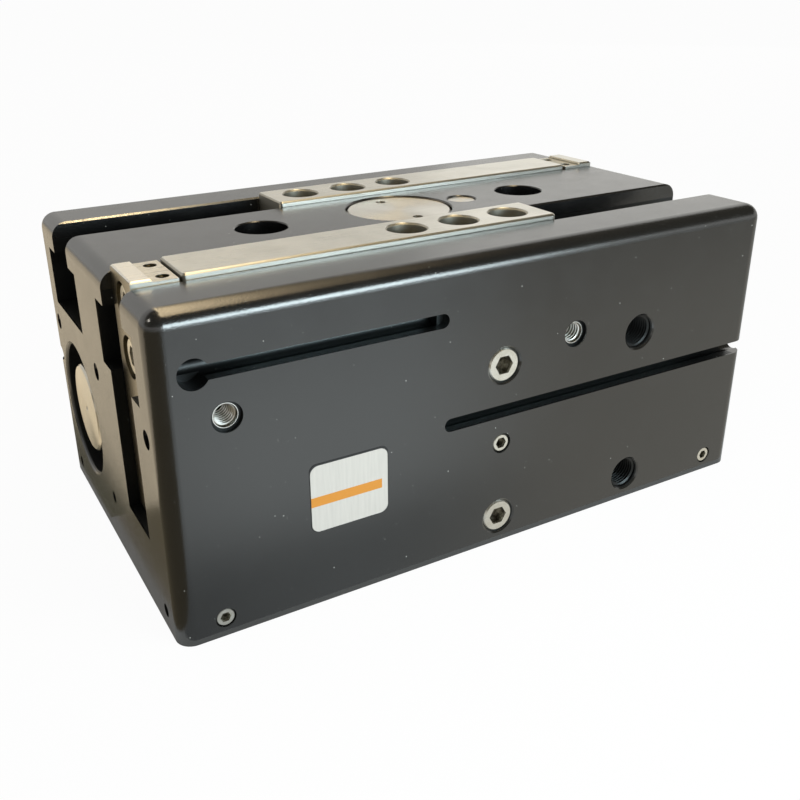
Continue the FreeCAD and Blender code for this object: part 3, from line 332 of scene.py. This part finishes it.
def anodised_black(name):
    """Satin black skin with dust, nicks, worn slot edges, and rougher inner faces whose reflection is dimmed
    as painted shade.
    """
    finish, tree, shader, where = new_finish(name)
    clouds = spread(tree, noise(tree, where, 0.03), 0.3, 0.7, 0.0, 1.0)
    skin = mixed(tree, clouds, SKIN_BLACK, SKIN_CLOUD)
    dust = any_of(tree, specks(tree, where, 2.2, 0.2, 0.22), specks(tree, where, 1.3, 0.08, 0.4))
    upright = specks(tree, where, 1.3, 0.05, 0.25, turn=(0.3, 0.5, 0.2), longer=(1, 1, 12))
    level = specks(tree, where, 1.3, 0.045, 0.25, turn=(0.1, -0.9, 0.4), longer=(9, 1, 1))
    marked = mixed(tree, any_of(tree, upright, level), mixed(tree, dust, skin, DUST_GREY), NICK_GREY)
    from_middle = worked(tree, "ABSOLUTE", along(tree, where, "X"))
    patches = spread(tree, noise(tree, where, 1.1, detail=4.0), 0.3, 0.6, 0.45, 0.85)
    toward_end = spread(tree, from_middle, WEAR_BEGINS * MM, WEAR_FULL * MM, 0.1, 1.0)
    slot_edge = reach(tree, where, "Y", EDGE_WEAR, centre_mm=SLOT_HALF + EDGE_OUT - SLOT_OFFSET)
    worn = all_of(tree, patches, toward_end, slot_edge, reach(tree, where, "Z", SLOT_EDGE, inside=False))
    tree.links.new(mixed(tree, worn, marked, BARE_EDGE), shader.inputs["Base Color"])
    tree.links.new(worn, shader.inputs["Metallic"])
    grain = noise(tree, where, 2.4)
    rubbed = noise(tree, where, 0.12, detail=5.0)
    outer_roughness = spread(tree, worked(tree, "ADD", grain, rubbed), 0.6, 1.4, 0.17, 0.26)
    within = all_of(tree, reach(tree, where, "X", INNER_LENGTH), reach(tree, where, "Y", INNER_WIDTH))
    by_ends = all_of(tree, reach(tree, where, "X", END_LENGTH),
                     reach(tree, where, "Y", END_BAND, centre_mm=-SLOT_OFFSET))
    inner = all_of(tree, any_of(tree, within, by_ends), reach(tree, where, "Z", INNER_TOP))
    inner_roughness = worked(tree, "MULTIPLY", inner, INNER_ROUGHNESS)
    tree.links.new(any_of(tree, outer_roughness, inner_roughness), shader.inputs["Roughness"])
    upper_slot = reach(tree, where, "Z", SENSOR_SLOT_HALF, centre_mm=JAW_SENSOR_HEIGHT)
    lower_slot = reach(tree, where, "Z", SENSOR_SLOT_HALF, centre_mm=PISTON_SENSOR_HEIGHT)
    off_ends = spread(tree, from_middle, SENSOR_SLOT_CLEAR * MM, SENSOR_SLOT_REACH * MM, 1.0, 0.0)
    sensor_slots = all_of(tree, inner, any_of(tree, upper_slot, lower_slot), off_ends,
                          reach(tree, where, "Y", SENSOR_SLOT_FLOOR, inside=False))
    # Painted shade: inner faces reflect less, the sensor slots away from the ends nearly as much as outside.
    reflection_shade = mixed(tree, sensor_slots, mixed(tree, inner, WHITE, INNER_PAINTED_SHADE), SENSOR_SLOT_PAINTED_SHADE)
    tree.links.new(reflection_shade, shader.inputs["Specular Tint"])
    shader.inputs["IOR"].default_value = SKIN_IOR
    relief(tree, shader, grain, strength=0.5, depth_mm=0.06)
    return finish


def paint(finish, *names):
    """Gives solids of the frame their finish."""
    for name in names:
        nodes[name].material_slots[0].material = finish


black_skin = anodised_black("black_anodised_skin")
paint(black_skin, "housing")

# Threads in the block: two air ports in the front and tapped holes in both ends, cut in the aluminium and
# anodised with it, so they are as black as the block. Each is a ridge wound into its hole.
BLOCK_END = 95.0
BLOCK_FRONT = -55.5
RIDGE_TIP = 0.16
RIDGE_STEPS = 36


def pick(piece, test):
    """Selects, in edit mode, the points of a piece whose place passes a test."""
    bpy.ops.mesh.select_mode(type="VERT")
    bpy.ops.mesh.select_all(action="DESELECT")
    shape = bmesh.from_edit_mesh(piece.data)
    for point in shape.verts:
        point.select_set(test(point.co))
    shape.select_flush(True)
    bmesh.update_edit_mesh(piece.data)


def close_up(piece, smooth_below=35.0):
    """Leaves edit mode with doubles merged, faces pointing outwards and soft shading on curved faces."""
    bpy.ops.mesh.select_all(action="SELECT")
    bpy.ops.mesh.remove_doubles(threshold=1e-7)
    bpy.ops.mesh.normals_make_consistent(inside=False)
    bpy.ops.object.mode_set(mode="OBJECT")
    bpy.ops.object.shade_smooth_by_angle(angle=math.radians(smooth_below))


def thread_ridge(name, wall, crest, pitch, start, turns, share=0.9):
    """The ridge of an inside thread, wound up Z from near a hole's mouth. It fills a share of its pitch."""
    bpy.ops.object.select_all(action="DESELECT")
    bpy.ops.mesh.primitive_plane_add(size=MM, rotation=(math.radians(90), 0, 0))
    ridge = bpy.context.object
    ridge.name = name
    bpy.ops.object.transform_apply(location=True, rotation=True, scale=True)
    bpy.ops.object.mode_set(mode="EDIT")
    middle = (wall + crest) / 2 * MM
    bpy.ops.transform.resize(value=(wall - crest, 1.0, pitch * share), center_override=(0, 0, 0))
    bpy.ops.transform.translate(value=(middle, 0, start * MM))
    pick(ridge, lambda place: place.x < middle)
    bpy.ops.transform.resize(value=(1.0, 1.0, RIDGE_TIP), center_override=(middle, 0, start * MM))
    bpy.ops.mesh.select_all(action="SELECT")
    bpy.ops.mesh.delete(type="ONLY_FACE")
    bpy.ops.object.mode_set(mode="OBJECT")
    winding = ridge.modifiers.new("winding", "SCREW")
    winding.axis = "Z"
    winding.screw_offset = pitch * MM
    winding.iterations = turns
    winding.steps = RIDGE_STEPS
    winding.render_steps = RIDGE_STEPS
    bpy.ops.object.modifier_apply(modifier="winding")
    bpy.ops.object.mode_set(mode="EDIT")
    bpy.ops.mesh.select_all(action="SELECT")
    bpy.ops.mesh.fill_holes(sides=4)
    close_up(ridge)
    return ridge


def into(place, way):
    """Turns a piece modelled up Z to point a given way from its place, both in the block's frame."""
    aim = Vector(way).to_track_quat("Z", "Y").to_matrix().to_4x4()
    return Matrix.Translation(Vector(place) * MM) @ aim


def set_in_place(piece, name, settings):
    """Copies a piece to each of its settings, with a mesh of its own, and joins the copies into one."""
    copies = []
    for setting in settings:
        copy = piece.copy()
        copy.data = piece.data.copy()
        copy.data.transform(setting)
        scene.collection.objects.link(copy)
        copies.append(copy)
    bpy.data.objects.remove(piece)
    bpy.ops.object.select_all(action="DESELECT")
    for copy in copies:
        copy.select_set(True)
    bpy.context.view_layer.objects.active = copies[0]
    if len(copies) > 1:
        bpy.ops.object.join()
    whole = bpy.context.view_layer.objects.active
    whole.name = name
    return whole


def fit_piece(piece, finish, body):
    """Gives a new piece its finish, the body that it moves with and the slot that its finish belongs to."""
    piece.data.materials.clear()
    piece.data.materials.append(finish)
    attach(piece, body)


PORT_RADIUS = 4.864
PORT_PLACE = 48.4
PORT_HEIGHTS = (55.2, 8.3)
port_ridge = thread_ridge("port_ridge", wall=PORT_RADIUS + 0.03, crest=PORT_RADIUS - 0.58, pitch=0.907,
                          start=1.3, turns=11)
port_threads = set_in_place(port_ridge, "port_threads", [
    into((PORT_PLACE, BLOCK_FRONT, height), (0, 1, 0)) for height in PORT_HEIGHTS])
fit_piece(port_threads, black_skin, "block")

CAP_HOLES = [(0, 54.1), (46.5, 54.1), (-46.5, 54.1)]
SMALL_HOLES = [(0, 15.0), (45.2, 5.4), (-45.2, 5.4)]
both_ends = [(sign * BLOCK_END, -sign) for sign in (1, -1)]
end_ridge = thread_ridge("end_ridge", wall=2.47, crest=2.08, pitch=0.8, start=0.7, turns=12)
end_threads = set_in_place(end_ridge, "end_threads", [
    into((x, y, z), (way, 0, 0)) for x, way in both_ends for y, z in CAP_HOLES])
fit_piece(end_threads, black_skin, "block")
small_ridge = thread_ridge("small_ridge", wall=1.77, crest=1.46, pitch=0.6, start=0.6, turns=11)
small_threads = set_in_place(small_ridge, "small_end_threads", [
    into((x, y, z), (way, 0, 0)) for x, way in both_ends for y, z in SMALL_HOLES])
fit_piece(small_threads, black_skin, "block")

# Cylinder ends: a black cap with its seal ring, held by a sprung ring in a groove, a bright turned end stop
# through the middle, and a rubber buffer behind it.
SIDES = {"near": 1, "far": -1}
BORE_HEIGHT = 31.8
TURNED_BRIGHT = (0.66, 0.63, 0.56)
TURNED_STAIN = (0.56, 0.53, 0.47)
RINGS_PER_MM = 1.1
# Painted shade, mottled, for what is sunk in a metal piece.
SUNK_SHADE_PALE = (0.56, 0.54, 0.48)
SUNK_SHADE_DARK = (0.16, 0.148, 0.12)


def moulded(name, dark, light):
    """Rubber or filled plastic with the dull, slightly uneven skin of its mould."""
    finish, tree, shader, where = new_finish(name)
    mould = noise(tree, where, 0.8, detail=4.0)
    tree.links.new(mixed(tree, mould, dark, light), shader.inputs["Base Color"])
    tree.links.new(spread(tree, mould, 0.3, 0.7, 0.5, 0.65), shader.inputs["Roughness"])
    relief(tree, shader, mould, strength=0.15, depth_mm=0.05)
    return finish


def turned_steel(name, centre_mm, axis):
    """Face-turned steel: fine rings about the axis that fan the light out from the middle."""
    finish, tree, shader, where = new_finish(name)
    offset = [-c * MM for c in centre_mm]
    centred = add_node(tree, "ShaderNodeMapping", {"Vector": where, "Location": offset}).outputs[0]
    rings = add_node(tree, "ShaderNodeTexWave", {
        "Vector": centred, "Scale": RINGS_PER_MM * PER_MM,
        "Distortion": 0.6, "Detail": 2.0, "Detail Scale": 0.4,
    }, wave_type="RINGS", rings_direction=axis).outputs["Fac"]
    stain = spread(tree, noise(tree, where, 0.12, detail=4.0), 0.35, 0.7, 0.0, 1.0)
    tree.links.new(mixed(tree, stain, TURNED_BRIGHT, TURNED_STAIN), shader.inputs["Base Color"])
    tree.links.new(spread(tree, rings, 0.0, 1.0, 0.24, 0.34), shader.inputs["Roughness"])
    shader.inputs["Metallic"].default_value = 1.0
    shader.inputs["Anisotropic"].default_value = 0.75
    shader.inputs["Anisotropic Rotation"].default_value = 0.25
    tangent = add_node(tree, "ShaderNodeTangent", direction_type="RADIAL", axis=axis)
    tree.links.new(tangent.outputs[0], shader.inputs["Tangent"])
    relief(tree, shader, rings, strength=0.2, depth_mm=0.01)
    return finish


def plain_metal(name, colour, worn, roughness, sunk=None):
    """Bare metal with stains, an uneven polish and mottled painted shade on what is sunk within a limit on
    an axis.
    """
    finish, tree, shader, where = new_finish(name)
    stain = spread(tree, noise(tree, where, 0.4, detail=5.0), 0.35, 0.7, 0.0, 1.0)
    tone = mixed(tree, stain, colour, worn)
    if sunk:
        # Painted shade on what lies within the limit.
        shade_mottle = spread(tree, noise(tree, where, 0.45, detail=2.0), 0.4, 0.6, 0.0, 1.0)
        tone = mixed(tree, reach(tree, where, *sunk), tone, mixed(tree, shade_mottle, SUNK_SHADE_PALE, SUNK_SHADE_DARK))
    tree.links.new(tone, shader.inputs["Base Color"])
    fine = noise(tree, where, 4.0, detail=2.0)
    polish = spread(tree, fine, 0.3, 0.7, roughness * 0.8, roughness * 1.2)
    tree.links.new(polish, shader.inputs["Roughness"])
    shader.inputs["Metallic"].default_value = 1.0
    relief(tree, shader, fine, strength=0.1, depth_mm=0.01)
    return finish


ring_rubber = moulded("ring_rubber", (0.012, 0.012, 0.012), (0.022, 0.022, 0.021))
phosphated = plain_metal("phosphated_spring_steel", (0.07, 0.07, 0.072), (0.05, 0.045, 0.04), 0.38)
for side, sign in SIDES.items():
    stop_steel = turned_steel(f"{side}_stop_steel", (0, sign * SLOT_OFFSET, BORE_HEIGHT), "X")
    paint(stop_steel, f"{side}_end_stop")
    paint(black_skin, f"{side}_cylinder_cap")
    paint(phosphated, f"{side}_retaining_ring")
    paint(ring_rubber, f"{side}_cap_ring", f"{side}_stop_buffer")

# Rod glands: a turned aluminium sleeve with a bronze bush and a lip seal for the rod and a seal ring against
# the bore, held by a zinc-plated set screw through the block's side.
SOCKET_DEPTH = 54.5
gland_metal = plain_metal("turned_aluminium", (0.74, 0.74, 0.75), (0.66, 0.66, 0.67), 0.3)
bronze = plain_metal("sintered_bronze", (0.55, 0.38, 0.2), (0.42, 0.28, 0.15), 0.42)
# Painted shade on the zinc parts that lie deeper than the socket depth, such as their hex sockets.
zinc = plain_metal("zinc_plated_steel", (0.84, 0.82, 0.76), (0.72, 0.69, 0.61), 0.28,
                   sunk=("Y", SOCKET_DEPTH))
for side in SIDES:
    paint(gland_metal, f"{side}_rod_gland")
    paint(bronze, f"{side}_rod_bush")
    paint(ring_rubber, f"{side}_rod_seal", f"{side}_gland_ring")
    paint(zinc, f"{side}_gland_screw")

# Pistons: turned aluminium on hard-chromed rods, each with two lip seals, a plastic guide ring and a magnet
# ring for the sensors, held on its rod by a nut.
chrome = plain_metal("hard_chrome", (0.78, 0.78, 0.78), (0.74, 0.74, 0.75), 0.1)
magnet_grey = plain_metal("sintered_magnet", (0.14, 0.14, 0.145), (0.1, 0.1, 0.1), 0.45)
guide_plastic = moulded("guide_plastic", (0.1, 0.17, 0.135), (0.14, 0.23, 0.185))
for side in SIDES:
    paint(chrome, f"{side}_piston_rod")
    paint(gland_metal, f"{side}_piston")
    paint(ring_rubber, f"{side}_piston_seals")
    paint(guide_plastic, f"{side}_guide_ring")
    paint(magnet_grey, f"{side}_magnet_ring")
    paint(zinc, f"{side}_piston_nut")

# Pinion: an oiled steel gear between the jaws, in bronze bushes. A face-turned steel cover with two spanner
# holes closes its seat, and a small turned plug is pressed in beside it.
TOP_PLUG_PLACE = 22.7
gear_steel = plain_metal("oiled_gear_steel", (0.42, 0.42, 0.43), (0.34, 0.33, 0.32), 0.32)
paint(gear_steel, "pinion")
paint(bronze, "lower_pinion_bush", "upper_pinion_bush")
paint(turned_steel("cover_steel", (0, 0, 0), "Z"), "pinion_cover")
paint(turned_steel("plug_steel", (TOP_PLUG_PLACE, 0, 0), "Z"), "top_plug")


# Jaws and drive blocks: hardened steel bars ground on all sides, with faint long grinding marks and pits. A
# drive block is screwed to the outer end of each jaw. Oil has stained the near block's step. Their sides and
# the jaws' holes are painted darker as shade, and so are the near block's sunk parts and end face; its lip
# is painted lighter as a highlight.
STEP_TOP = 87.8
STEP_EDGE = 86.85
LIP_FOOT = 88.2
BLOCK_FACE = 91.85
SCREW_RIM = 90.6
JAW_TOP = 88.6
FLANK = SLOT_HALF - 0.3
HOLE_BAND = SLOT_HALF - 0.8
STEEL_BRIGHT = (0.65, 0.635, 0.58)
STEEL_MOTTLE = (0.56, 0.55, 0.5)
STEEL_PIT = (0.3, 0.28, 0.23)
FLANK_PAINTED_SHADE = (0.41, 0.405, 0.375)
HOLE_PAINTED_SHADE = (0.42, 0.405, 0.355)
HOLE_ROUGHNESS = 0.5
OIL_DARK = (0.6, 0.55, 0.45)
OIL_PALE = (0.74, 0.69, 0.59)
# Painted shade in the near block's sunk parts and on its end face, and a painted highlight on its lip.
SUNK_BLOCK_SHADE = (0.07, 0.06, 0.04)
END_FACE_SHADE = (0.3, 0.27, 0.21)
LIP_PAINTED_HIGHLIGHT = (0.83, 0.79, 0.71)


def ground_steel(name, oiled_and_shaded=False):
    """Ground steel with pits, grinding marks, painted shade on its sides and rougher holes with painted
    shade;
    for the near drive block, an oil-stained step, painted shade in its sunk parts and on its end face, and a
    painted highlight on its lip.
    """
    finish, tree, shader, where = new_finish(name)
    mottle = spread(tree, noise(tree, where, 0.09, detail=5.0), 0.38, 0.68, 0.0, 1.0)
    tone = mixed(tree, mottle, STEEL_BRIGHT, STEEL_MOTTLE)
    pits = any_of(tree, specks(tree, where, 2.0, 0.16, 0.25), specks(tree, where, 1.1, 0.07, 0.45))
    tone = mixed(tree, pits, tone, STEEL_PIT)
    lines = noise(tree, where, 2.2, crowding=(0.02, 1, 1))
    polish = spread(tree, lines, 0.25, 0.75, 0.25, 0.36)
    if oiled_and_shaded:
        film = spread(tree, noise(tree, where, 0.5, detail=4.0), 0.3, 0.7, 0.0, 1.0)
        step = all_of(tree, reach(tree, where, "X", STEP_EDGE), reach(tree, where, "Z", STEP_TOP + 0.1))
        tone = mixed(tree, step, tone, mixed(tree, film, OIL_DARK, OIL_PALE))
        sunk = all_of(tree, reach(tree, where, "X", BLOCK_FACE), reach(tree, where, "Z", STEP_TOP - 0.2),
                      reach(tree, where, "Y", FLANK, centre_mm=-SLOT_OFFSET))
        # Painted shade in the holes and the parts below the step.
        tone = mixed(tree, sunk, tone, SUNK_BLOCK_SHADE)
        lip = all_of(tree, reach(tree, where, "X", STEP_EDGE, inside=False),
                     reach(tree, where, "Z", LIP_FOOT, inside=False))
        # Painted highlight on the lip.
        tone = mixed(tree, lip, tone, LIP_PAINTED_HIGHLIGHT)
        # Painted shade on the block's end face.
        tone = mixed(tree, reach(tree, where, "X", BLOCK_FACE, inside=False), tone, END_FACE_SHADE)
    else:
        holes = all_of(tree, reach(tree, where, "Z", JAW_TOP - 0.15),
                       reach(tree, where, "Y", HOLE_BAND, centre_mm=-SLOT_OFFSET))
        # Painted shade inside the jaw's holes, which are also rougher.
        tone = mixed(tree, holes, tone, HOLE_PAINTED_SHADE)
        polish = any_of(tree, polish, worked(tree, "MULTIPLY", holes, HOLE_ROUGHNESS))
    # Painted shade: the sides of the jaws and blocks are darker than their tops.
    flanks = reach(tree, where, "Y", FLANK, inside=False, centre_mm=-SLOT_OFFSET)
    tree.links.new(mixed(tree, flanks, tone, FLANK_PAINTED_SHADE), shader.inputs["Base Color"])
    tree.links.new(polish, shader.inputs["Roughness"])
    shader.inputs["Metallic"].default_value = 1.0
    relief(tree, shader, lines, strength=0.05, depth_mm=0.01)
    return finish


FINGER_HOLES = (19.7, 2.9, -13.9)
FINGER_THREAD_TOP = JAW_TOP - 8.0
STEP_HOLE_PLACE = -83.3
STEP_HOLE_SIDES = (5.0, -5.0)
DOWN = (0, 0, -1)
jaw_steel = ground_steel("ground_jaw_steel")
block_steel = ground_steel("oiled_and_shaded_block_steel", oiled_and_shaded=True)
# Painted shade on the block screws' sockets, within their rims.
screw_steel = plain_metal("block_screw_steel", (0.95, 0.92, 0.83), (0.82, 0.77, 0.66), 0.45,
                          sunk=("X", SCREW_RIM))
for side, sign in SIDES.items():
    middle = sign * SLOT_OFFSET
    paint(jaw_steel, f"{side}_jaw")
    paint(block_steel if side == "near" else jaw_steel, f"{side}_drive_block")
    paint(screw_steel, f"{side}_block_screws")
    finger_ridge = thread_ridge("finger_ridge", wall=3.43, crest=2.95, pitch=1.25, start=0.7, turns=8)
    finger_threads = set_in_place(finger_ridge, f"{side}_finger_threads", [
        into((sign * x, middle, FINGER_THREAD_TOP), DOWN) for x in FINGER_HOLES])
    fit_piece(finger_threads, jaw_steel, f"{side}_jaw_set")
    step_ridge = thread_ridge("step_ridge", wall=1.67, crest=1.4, pitch=0.7, start=0.5, turns=5)
    step_threads = set_in_place(step_ridge, f"{side}_step_threads", [
        into((sign * STEP_HOLE_PLACE, middle + out, STEP_TOP), DOWN) for out in STEP_HOLE_SIDES])
    fit_piece(step_threads, block_steel, f"{side}_jaw_set")

# Plugs: zinc-plated steel screws with hex sockets, in the spare air ports and the ends of the drilled air
# lines, screwed in level with the block's front.
paint(zinc, "port_plugs", "gallery_plugs")

# Thread inserts in the block's sides: a thin steel sleeve below a black seat, with a bright coil inside it
# for a thread. Shade is painted in its roots, so the crests show as shining lines.
INSERT_PLACES = (-78.3, 24.1)
INSERT_HEIGHT = 59.45
INSERT_MOUTH = -54.3
INSERT_LENGTH = 9.0
SLEEVE_RADIUS = 3.15
SLEEVE_MOUTH = 3.0
SLEEVE_BORE = 2.93
SLEEVE_CHAMFER = 0.12
SLEEVE_SHADE_FROM = 54.15
# Painted shade in the thread roots, from one radius to the next.
ROOT_SHADE_START = 2.68
ROOT_SHADE_FULL = 2.84
ROOT_SHADE_TONE = (0.13, 0.115, 0.09)


def turned_shell(name, stations, around=64):
    """A turned ring about Z: a circle of edges drawn out through heights and radii and closed on itself."""
    bpy.ops.object.select_all(action="DESELECT")
    height, radius = stations[0]
    bpy.ops.mesh.primitive_circle_add(vertices=around, radius=radius * MM, location=(0, 0, height * MM))
    shell = bpy.context.object
    shell.name = name
    bpy.ops.object.transform_apply(location=True, rotation=True, scale=True)
    bpy.ops.object.mode_set(mode="EDIT")
    bpy.ops.mesh.select_all(action="SELECT")
    for next_height, next_radius in (*stations[1:], stations[0]):
        rise = (0, 0, (next_height - height) * MM)
        bpy.ops.mesh.extrude_edges_move(TRANSFORM_OT_translate={"value": rise})
        wider = next_radius / radius
        bpy.ops.transform.resize(value=(wider, wider, 1.0), center_override=(0, 0, 0))
        height, radius = next_height, next_radius
    close_up(shell)
    return shell


def darken_roots(finish):
    """Paints shade in the roots of the inserts' threads, by the distance from the nearest insert's axis."""
    tree = finish.node_tree
    flat = add_node(tree, "ShaderNodeMapping", {"Vector": own_place(tree), "Scale": (1, 0, 1)}).outputs[0]
    distances = []
    for sign in SIDES.values():
        for x in INSERT_PLACES:
            axis = (sign * x * MM, 0, INSERT_HEIGHT * MM)
            away = add_node(tree, "ShaderNodeVectorMath", {0: flat, 1: axis}, operation="DISTANCE")
            distances.append(away.outputs["Value"])
    nearest = distances[0]
    for distance in distances[1:]:
        nearest = worked(tree, "MINIMUM", nearest, distance)
    roots = spread(tree, nearest, ROOT_SHADE_START * MM, ROOT_SHADE_FULL * MM, 0.0, 1.0)
    tone = tree.nodes["Principled BSDF"].inputs["Base Color"]
    tree.links.new(mixed(tree, roots, tone.links[0].from_socket, ROOT_SHADE_TONE), tone)


bright_thread = plain_metal("bright_insert_steel", (0.95, 0.94, 0.92), (0.86, 0.83, 0.78), 0.36)
darken_roots(bright_thread)
# Painted shade in the sleeves' bores, deeper than just inside their mouths.
sleeve_steel = plain_metal("insert_sleeve_steel", (0.93, 0.92, 0.9), (0.8, 0.77, 0.72), 0.4,
                           sunk=("Y", SLEEVE_SHADE_FROM))
for side, sign in SIDES.items():
    inwards = [into((sign * x, sign * INSERT_MOUTH, INSERT_HEIGHT), (0, sign, 0)) for x in INSERT_PLACES]
    sleeve = turned_shell(f"{side}_sleeve", [
        (0, SLEEVE_RADIUS), (0, SLEEVE_MOUTH), (SLEEVE_CHAMFER, SLEEVE_BORE), (INSERT_LENGTH, SLEEVE_BORE),
        (INSERT_LENGTH, SLEEVE_RADIUS)])
    coil = thread_ridge(f"{side}_coil", wall=2.96, crest=2.5, pitch=1.0, start=0.55, turns=8, share=0.6)
    sleeves = set_in_place(sleeve, f"{side}_insert_sleeves", inwards)
    fit_piece(sleeves, sleeve_steel, "block")
    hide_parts(f"{side}_thread_inserts")
    coils = set_in_place(coil, f"{side}_insert_coils", inwards)
    fit_piece(coils, bright_thread, "block")


# Label: a brushed silver-white foil with rounded corners, stuck to the block's front, with a painted shadow
# along its edge. It is bare but for a plain orange stripe.
LABEL_LEFT = -58.7
LABEL_RIGHT = -36.3
LABEL_FOOT = 21.8
LABEL_TOP = 41.2
FIELD_EDGE = 0.2
FIELD_EDGE_ABOVE = 0.5
FIELD_CORNER = 2.3
STRIPE_FOOT = 29.2
STRIPE_TOP = 31.9
STRIPE_RIGHT = -38.2
FOIL_DULL = (0.5, 0.47, 0.437)
FOIL_BRIGHT = (0.63, 0.595, 0.553)
STRIPE_ORANGE = (0.62, 0.245, 0.025)
EDGE_PAINTED_SHADOW = (0.01, 0.01, 0.011)


def printed_foil(name):
    """Upright-brushed foil with an orange stripe, inside a painted shadow along its edge that follows its
    rounded corners.
    """
    finish, tree, shader, where = new_finish(name)
    brushed = noise(tree, where, 1.6, crowding=(1, 1, 0.06))
    stripe_middle = (STRIPE_TOP + STRIPE_FOOT) / 2
    stripe = all_of(tree, reach(tree, where, "Z", STRIPE_TOP - stripe_middle, centre_mm=stripe_middle),
                    reach(tree, where, "X", -STRIPE_RIGHT, inside=False))
    printed = mixed(tree, stripe, mixed(tree, brushed, FOIL_DULL, FOIL_BRIGHT), STRIPE_ORANGE)
    low = Vector((LABEL_LEFT + FIELD_EDGE, 0, LABEL_FOOT)) * MM
    high = Vector((LABEL_RIGHT - FIELD_EDGE, 0, LABEL_TOP - FIELD_EDGE_ABOVE)) * MM
    straight = (high - low) / 2 - Vector((FIELD_CORNER, 0, FIELD_CORNER)) * MM
    beyond = add_node(tree, "ShaderNodeMapping", {
        "Vector": where, "Location": -(low + high) / 2, "Scale": (1, 0, 1),
    }).outputs[0]
    for step, limit in (("ABSOLUTE", (0, 0, 0)), ("SUBTRACT", straight), ("MAXIMUM", (0, 0, 0))):
        beyond = add_node(tree, "ShaderNodeVectorMath", {0: beyond, 1: limit}, operation=step).outputs[0]
    away = add_node(tree, "ShaderNodeVectorMath", {0: beyond}, operation="LENGTH").outputs["Value"]
    field = worked(tree, "LESS_THAN", away, FIELD_CORNER * MM)
    # A painted shadow along the foil's edge, widest at the top.
    tree.links.new(mixed(tree, field, EDGE_PAINTED_SHADOW, printed), shader.inputs["Base Color"])
    tree.links.new(spread(tree, brushed, 0.3, 0.7, 0.28, 0.4), shader.inputs["Roughness"])
    relief(tree, shader, brushed, strength=0.1, depth_mm=0.01)
    return finish


paint(printed_foil("label_foil_print"), "rating_label")
